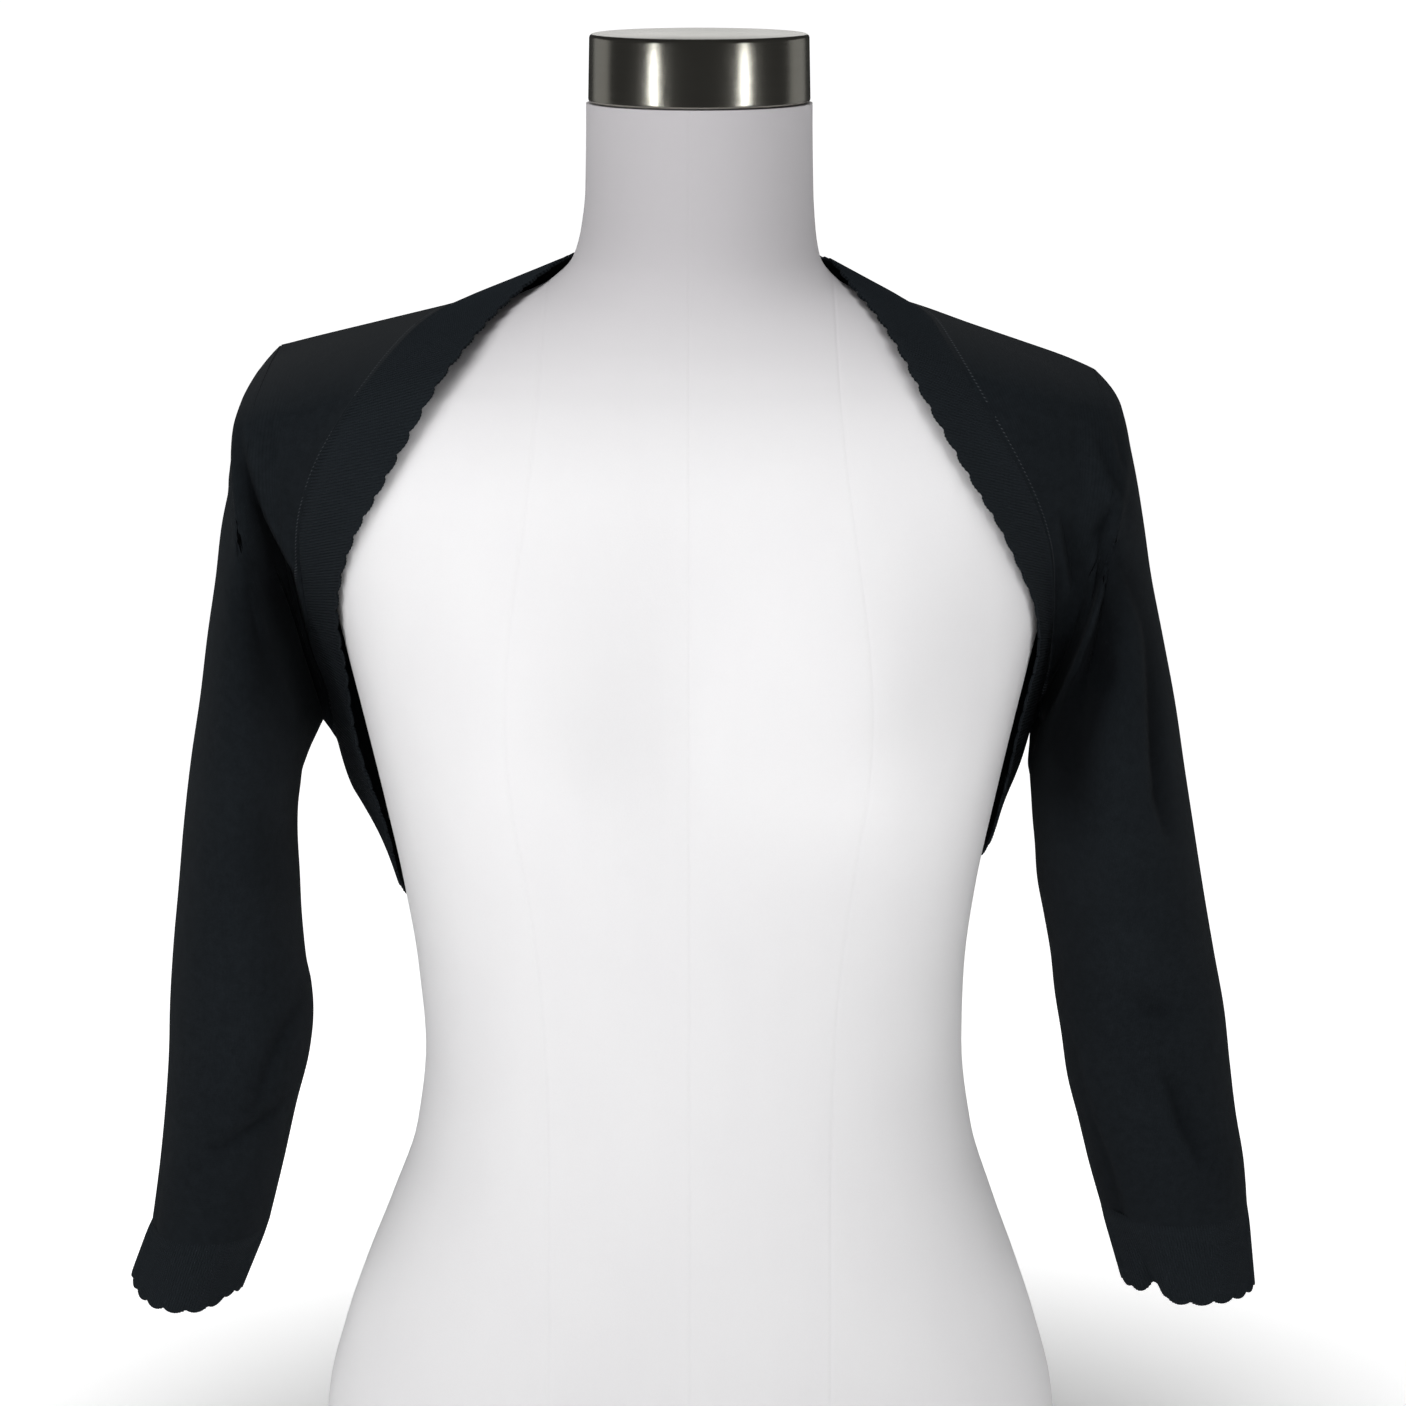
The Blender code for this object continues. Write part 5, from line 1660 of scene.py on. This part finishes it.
def raised_disc(name, sides, outline, low, high, taper, rounding):
    """A closed outline extruded from low to high, with both rims bevelled."""
    bm = bmesh.new()
    bmesh.ops.create_circle(bm, cap_ends=True, segments=sides, radius=1)
    for vertex in bm.verts:
        turn = math.degrees(math.atan2(vertex.co.x, -vertex.co.y))
        vertex.co = outline(turn, low) * MM
    raised = bmesh.ops.extrude_face_region(bm, geom=list(bm.faces))
    top = [item for item in raised["geom"] if isinstance(item, bmesh.types.BMVert)]
    centre = sum((vertex.co for vertex in top), Vector()) / len(top)
    for vertex in top:
        vertex.co = centre + (vertex.co - centre) * taper
        vertex.co.z = high * MM
    bmesh.ops.recalc_face_normals(bm, faces=bm.faces)
    rims = [edge for edge in bm.edges if abs(edge.verts[0].co.z - edge.verts[1].co.z) < 1e-7]
    bmesh.ops.bevel(
        bm, geom=rims, offset=rounding * MM, offset_type="OFFSET", segments=5,
        profile=0.5, affect="EDGES", material=-1,
    )
    bmesh.ops.recalc_face_normals(bm, faces=bm.faces)
    mesh = bpy.data.meshes.new(name)
    bm.to_mesh(mesh)
    bm.free()
    mesh.shade_smooth()
    mesh.set_sharp_from_angle(angle=math.radians(35))
    piece = bpy.data.objects.new(name, mesh)
    bpy.context.scene.collection.objects.link(piece)
    return piece


def cap_outline(turn, height):
    turn = math.radians(turn)
    return Vector((
        FORM_ROWS[-1].centre_x + CAP_RADIUS * math.sin(turn),
        FORM_ROWS[-1].centre_y - CAP_RADIUS * math.cos(turn),
        height,
    ))


def board_outline(turn, height):
    low = FORM_ROWS[0]
    point = form_point(turn, low.height) * (1 + BOARD_OVERHANG / low.half_width)
    return Vector((point.x, point.y, height))


cap = raised_disc(
    "steel_neck_cap", CAP_SIDES, cap_outline, CAP_BOTTOM, CAP_TOP,
    1 - CAP_TAPER / CAP_RADIUS, CAP_EDGE_ROUND,
)
dress(cap, steel, "neck_cap")
board = raised_disc(
    "painted_foot_board", BOARD_SIDES, board_outline, 0, BOARD_HEIGHT, 1, BOARD_EDGE_ROUND,
)
dress(board, board_paint, "base_board")

# %% [markdown]
# ## The body of the shrug
#
# The back and both fronts are single sheets. At each of their points the mesh remembers
# how far the band's seam is and how far along it the point lies, so that the material can
# lay the overlock row beside the seam.

# %% Build the back and the fronts
def travelled(line):
    """Length along a line at each of its points."""
    lengths = [0.0]
    for before, after in zip(line, line[1:]):
        lengths.append(lengths[-1] + (after - before).length)
    return lengths


# The share of painted shade in the creases, as a number that the mesh carries.
def painted_crease_shade_layer(name):
    return {"painted_crease_shade": lambda row, column: painted_crease_shades[name][row][column % len(painted_crease_shades[name][row])]}


def front_layers(net, name):
    along = travelled([row[0] for row in net])
    return {
        "from_seam": lambda row, column: (net[row][column] - net[row][0]).length,
        "along_seam": lambda row, column: along[row],
        **painted_crease_shade_layer(name),
    }


def back_layers(net):
    neck = travelled(net[0])
    hem = travelled(net[-1])
    middle = len(net) // 2
    return {
        "from_seam": lambda row, column: min(
            (net[row][column] - net[0][column]).length,
            (net[row][column] - net[-1][column]).length,
        ),
        "along_seam": lambda row, column: neck[column] if row < middle else hem[column],
    }


panels = {}
for name in ("back_panel", "front_left", "front_right"):
    net = fine_nets[name]
    layers = back_layers(net) if name == "back_panel" else front_layers(net, name)
    panels[name] = thicken(grid_mesh(name + "_knit", net, False, layers))
    dress(panels[name], seamed_knit, name)

# %% [markdown]
# ## The sleeves
#
# Each sleeve is one grid rolled into a tube, with its welded edge along the outer side of the
# sleeve, down from the top of the shoulder.

# %% Build the sleeves
for side in ("left", "right"):
    name = "sleeve_" + side
    panels[name] = thicken(grid_mesh(name + "_knit", fine_nets[name], True, painted_crease_shade_layer(name)))
    dress(panels[name], knit, name)

# %% [markdown]
# ## The ribbed band and the cuffs
#
# Rib knit stands up in ridges, and its free edge is drawn into small scallops, about six
# ribs to each. The band is a strip from the seam to the edge, all round the opening. Its
# points rise and fall with the ribs, and the free edge goes in and out with the scallops.

# %% Ribbed strips
COLUMNS_PER_RIB = 4
RIB_ROWS = 9
RIB_RISE = 0.5
LAP = 0.03
LAP_DROP = 0.5
SCALLOP_DEPTH = 2.0
SCALLOP_POWER = 0.75
RIB_SHARE = (0.0, 0.75, 1.0, 0.75)


def ribbed_strip(name, seam, edge, scallops, ribs_each, closed_net_normals):
    """A closed ring of rib knit between a seam and a scalloped edge, lapped under the seam."""
    middle = [(a + b) / 2 for a, b in zip(seam, edge)]
    ribs = scallops * ribs_each
    starts = even_places(middle, 0, len(middle), ribs, True)
    columns = ribs * COLUMNS_PER_RIB
    places = []
    for k in range(ribs):
        for part in range(COLUMNS_PER_RIB):
            share = part / COLUMNS_PER_RIB
            places.append(starts[k] + (starts[k + 1] - starts[k]) * share)
    seam_line = [curve_at(seam, place, True) for place in places]
    edge_line = [curve_at(edge, place, True) for place in places]
    shares = [-LAP] + [i / RIB_ROWS for i in range(RIB_ROWS + 1)]
    net = [[a.lerp(b, share) for a, b in zip(seam_line, edge_line)] for share in shares]
    normals = outward_normals(net, True, closed_net_normals)
    net[0] = [point - normal * LAP_DROP for point, normal in zip(net[0], normals[0])]
    per_scallop = ribs_each * COLUMNS_PER_RIB
    for i, row in enumerate(net):
        share = max(shares[i], 0)
        rise = RIB_RISE * min(1, 4 * share)
        for j in range(columns):
            bump = abs(math.sin(math.pi * j / per_scallop)) ** SCALLOP_POWER
            outwards = (edge_line[j] - seam_line[j]).normalized()
            row[j] = row[j] + outwards * (bump - 0.5) * SCALLOP_DEPTH * share**3
            row[j] = row[j] + normals[i][j] * rise * RIB_SHARE[j % COLUMNS_PER_RIB]
    layers = {"rib": lambda row, column: RIB_SHARE[column % COLUMNS_PER_RIB]}
    return net, thicken(grid_mesh(name, net, True, layers))


print("a rib has", COLUMNS_PER_RIB, "columns")

# %% Build the band
BAND_SCALLOP = 10.4
BAND_RIBS_EACH = 6
CURVE_STEPS = 2000
band_length = travelled(band_edge + band_edge[:1])[-1]
band_scallops = round(band_length / BAND_SCALLOP)
band_net, band = ribbed_strip(
    "ribbed_band_knit", band_seam, band_edge, band_scallops, BAND_RIBS_EACH, False
)
dress(band, rib, "ribbed_band")
print("the band's edge is", round(band_length), "mm long, with", band_scallops, "scallops")

# %% Build the cuffs
CUFF_SCALLOPS = 19
CUFF_RIBS_EACH = 9
CuffLift = namedtuple("CuffLift", "turn half_width height outwards")
CUFF_LIFTS = {
    "left": [CuffLift(0, 30, 7.0, 0.5), CuffLift(360, 30, 7.0, 0.5), CuffLift(148, 16, 3.0, 0)],
    "right": [CuffLift(130, 7, 6.0, -3.0), CuffLift(165, 26, 2.5, 2.5)],
}


def lifted_edge(side, ring):
    """The cuff's free edge, lifted where the cuff is turned up or pinched."""
    centre = sum(ring, Vector()) / len(ring)
    edge = []
    for k, point in enumerate(ring):
        turn = 360 * k / len(ring)
        for lift in CUFF_LIFTS[side]:
            strength = math.exp(-0.5 * ((turn - lift.turn) / lift.half_width) ** 2)
            away = (point - centre).normalized()
            point = point + (Vector((0, 0, lift.height)) + away * lift.outwards) * strength
        edge.append(point)
    return edge


cuffs = {}
for side in ("left", "right"):
    row = CUFFS[side]
    place = SleeveRow(
        row.outer_x, row.edge_z, row.inner_x, row.edge_z, row.half_depth, row.centre_y
    )
    fine_ring = [curve_at(sleeve_ring(place), k / FINE, True) for k in range(SLEEVE_TURNS)]
    fine_seam = [curve_at(sleeve_nets[side][-1], k / FINE, True) for k in range(SLEEVE_TURNS)]
    edge = lifted_edge(side, fine_ring)
    name = "cuff_" + side
    net, cuffs[side] = ribbed_strip(
        name + "_knit", fine_seam, edge, CUFF_SCALLOPS, CUFF_RIBS_EACH, True
    )
    fine_nets[name] = net
    dress(cuffs[side], rib, name)
fine_nets["ribbed_band"] = band_net

# %% [markdown]
# ## How the cloth was cut
#
# The size that each piece was cut to is worked out and printed: the size of its net laid flat,
# across by down.

sheets = dict(panels)
sheets["ribbed_band"] = band
sheets["cuff_left"] = cuffs["left"]
sheets["cuff_right"] = cuffs["right"]
for name, piece in sheets.items():
    wraps = name.startswith(("sleeve", "cuff", "ribbed"))
    width, length = net_size(fine_nets[name], wraps)
    rests = [form_piece] if not name.startswith(("sleeve", "cuff")) else ["back_panel"]
    print(name, "cut", round(width), "by", round(length), "mm")

# %% [markdown]
# ## Floor, light and camera
#
# The set is a white studio floor that brightens away from the form, so that the ground
# reads as plain white from any side. Two large soft lights stand high, one of them to the
# left, and a small weak one beside the camera opens the narrow slots between the pieces.
# The metal cap would mirror all of that, so the large lights and the floor are hidden from
# reflections. It mirrors two narrow upright strips and three dim panels behind the form.

# %% The floor
FLOOR_HALF = 30.0


def studio_floor():
    bm = bmesh.new()
    bmesh.ops.create_grid(bm, x_segments=8, y_segments=8, size=FLOOR_HALF)
    mesh = bpy.data.meshes.new("studio_floor")
    bm.to_mesh(mesh)
    bm.free()
    floor = bpy.data.objects.new("studio_floor", mesh)
    bpy.context.scene.collection.objects.link(floor)
    paint = Paint("white studio floor", {
        "Base Color": (0.9, 0.9, 0.9, 1),
        "Roughness": 0.7,
        "Specular IOR Level": 0.2,
        "Emission Strength": 1.0,
    })
    spot = paint.place()
    away = paint.flow(paint.node("ShaderNodeVectorMath", {"operation": "LENGTH"}, {0: spot}), 1)
    near = {"Value": away, "From Min": 0.15, "From Max": 0.6, "To Min": 0.2, "To Max": 0.85}
    far = {"Value": away, "From Min": 1.5, "From Max": 5.0, "To Min": 0.0, "To Max": 0.2}
    glow = 0.0
    for inputs in (near, far):
        ramp = paint.node("ShaderNodeMapRange", {"interpolation_type": "SMOOTHSTEP"}, inputs)
        glow = paint.flow(ramp) + glow
    mesh.materials.append(paint.finish(emission_color=glow))
    return floor


floor = studio_floor()
print("floor half width:", FLOOR_HALF, "m")

# %% Lights and surroundings
def soft_light(name, place, aim, size, power, colour=(1, 1, 1)):
    """A square soft light that looks at a point."""
    lamp = bpy.data.lights.new(name, "AREA")
    lamp.shape = "SQUARE"
    lamp.size = size
    lamp.energy = power
    lamp.color = colour
    light = bpy.data.objects.new(name, lamp)
    light.location = place
    direction = Vector(aim) - Vector(place)
    light.rotation_euler = direction.to_track_quat("-Z", "Y").to_euler()
    bpy.context.scene.collection.objects.link(light)
    return light


world = bpy.data.worlds.new("studio air")
world.use_nodes = True
world.node_tree.nodes["Background"].inputs["Color"].default_value = (1, 1, 1, 1)
world.node_tree.nodes["Background"].inputs["Strength"].default_value = 0.03
bpy.context.scene.world = world
broad_lights = [
    soft_light("high left light", (-1.2, -1.0, 2.0), (0, 0, 0.4), 1.2, 13.5),
    soft_light("top light", (0, -0.5, 2.4), (0, 0, 0.4), 1.2, 26.5),
    soft_light("front light", (0.0036, -2.0, 0.85), (0, 0, 0.4), 0.3, 3.2),
]
for item in broad_lights + [floor]:
    item.visible_glossy = False
for side, x in (("left", -1), ("right", 1)):
    strip = soft_light(side + " strip", (x * 0.88, -0.81, 0.4), (0, 0, 0.4), 0.06, 1.9)
    strip.data.shape = "RECTANGLE"
    strip.data.size_y = 0.8
    soft_light(side + " rear panel", (x * 1.6, 1.1, 0.5), (0, 0, 0.5), 1.2, 0.9)
soft_light("back panel", (0, 3.0, 1.0), (0, 0, 0.6), 0.8, 1.7)
print("lights:", sum(item.type == "LIGHT" for item in bpy.context.scene.objects))

# %% The camera
CAMERA_PLACE = (0.0036, -1.950, 0.795)
CAMERA_AIM = (0.0036, 0.0, 0.390)
SENSOR = 36.0
LENS = 4444 / 1406 * SENSOR


def photo_camera():
    lens = bpy.data.cameras.new("photo camera")
    lens.lens = LENS
    lens.sensor_width = SENSOR
    camera = bpy.data.objects.new("photo camera", lens)
    camera.location = CAMERA_PLACE
    direction = Vector(CAMERA_AIM) - Vector(CAMERA_PLACE)
    camera.rotation_euler = direction.to_track_quat("-Z", "Y").to_euler()
    bpy.context.scene.collection.objects.link(camera)
    bpy.context.scene.camera = camera
    bpy.context.scene.view_settings.view_transform = "Standard"
    bpy.context.scene.view_settings.look = "None"
    return camera


camera = photo_camera()
print("lens:", round(LENS, 1), "mm")
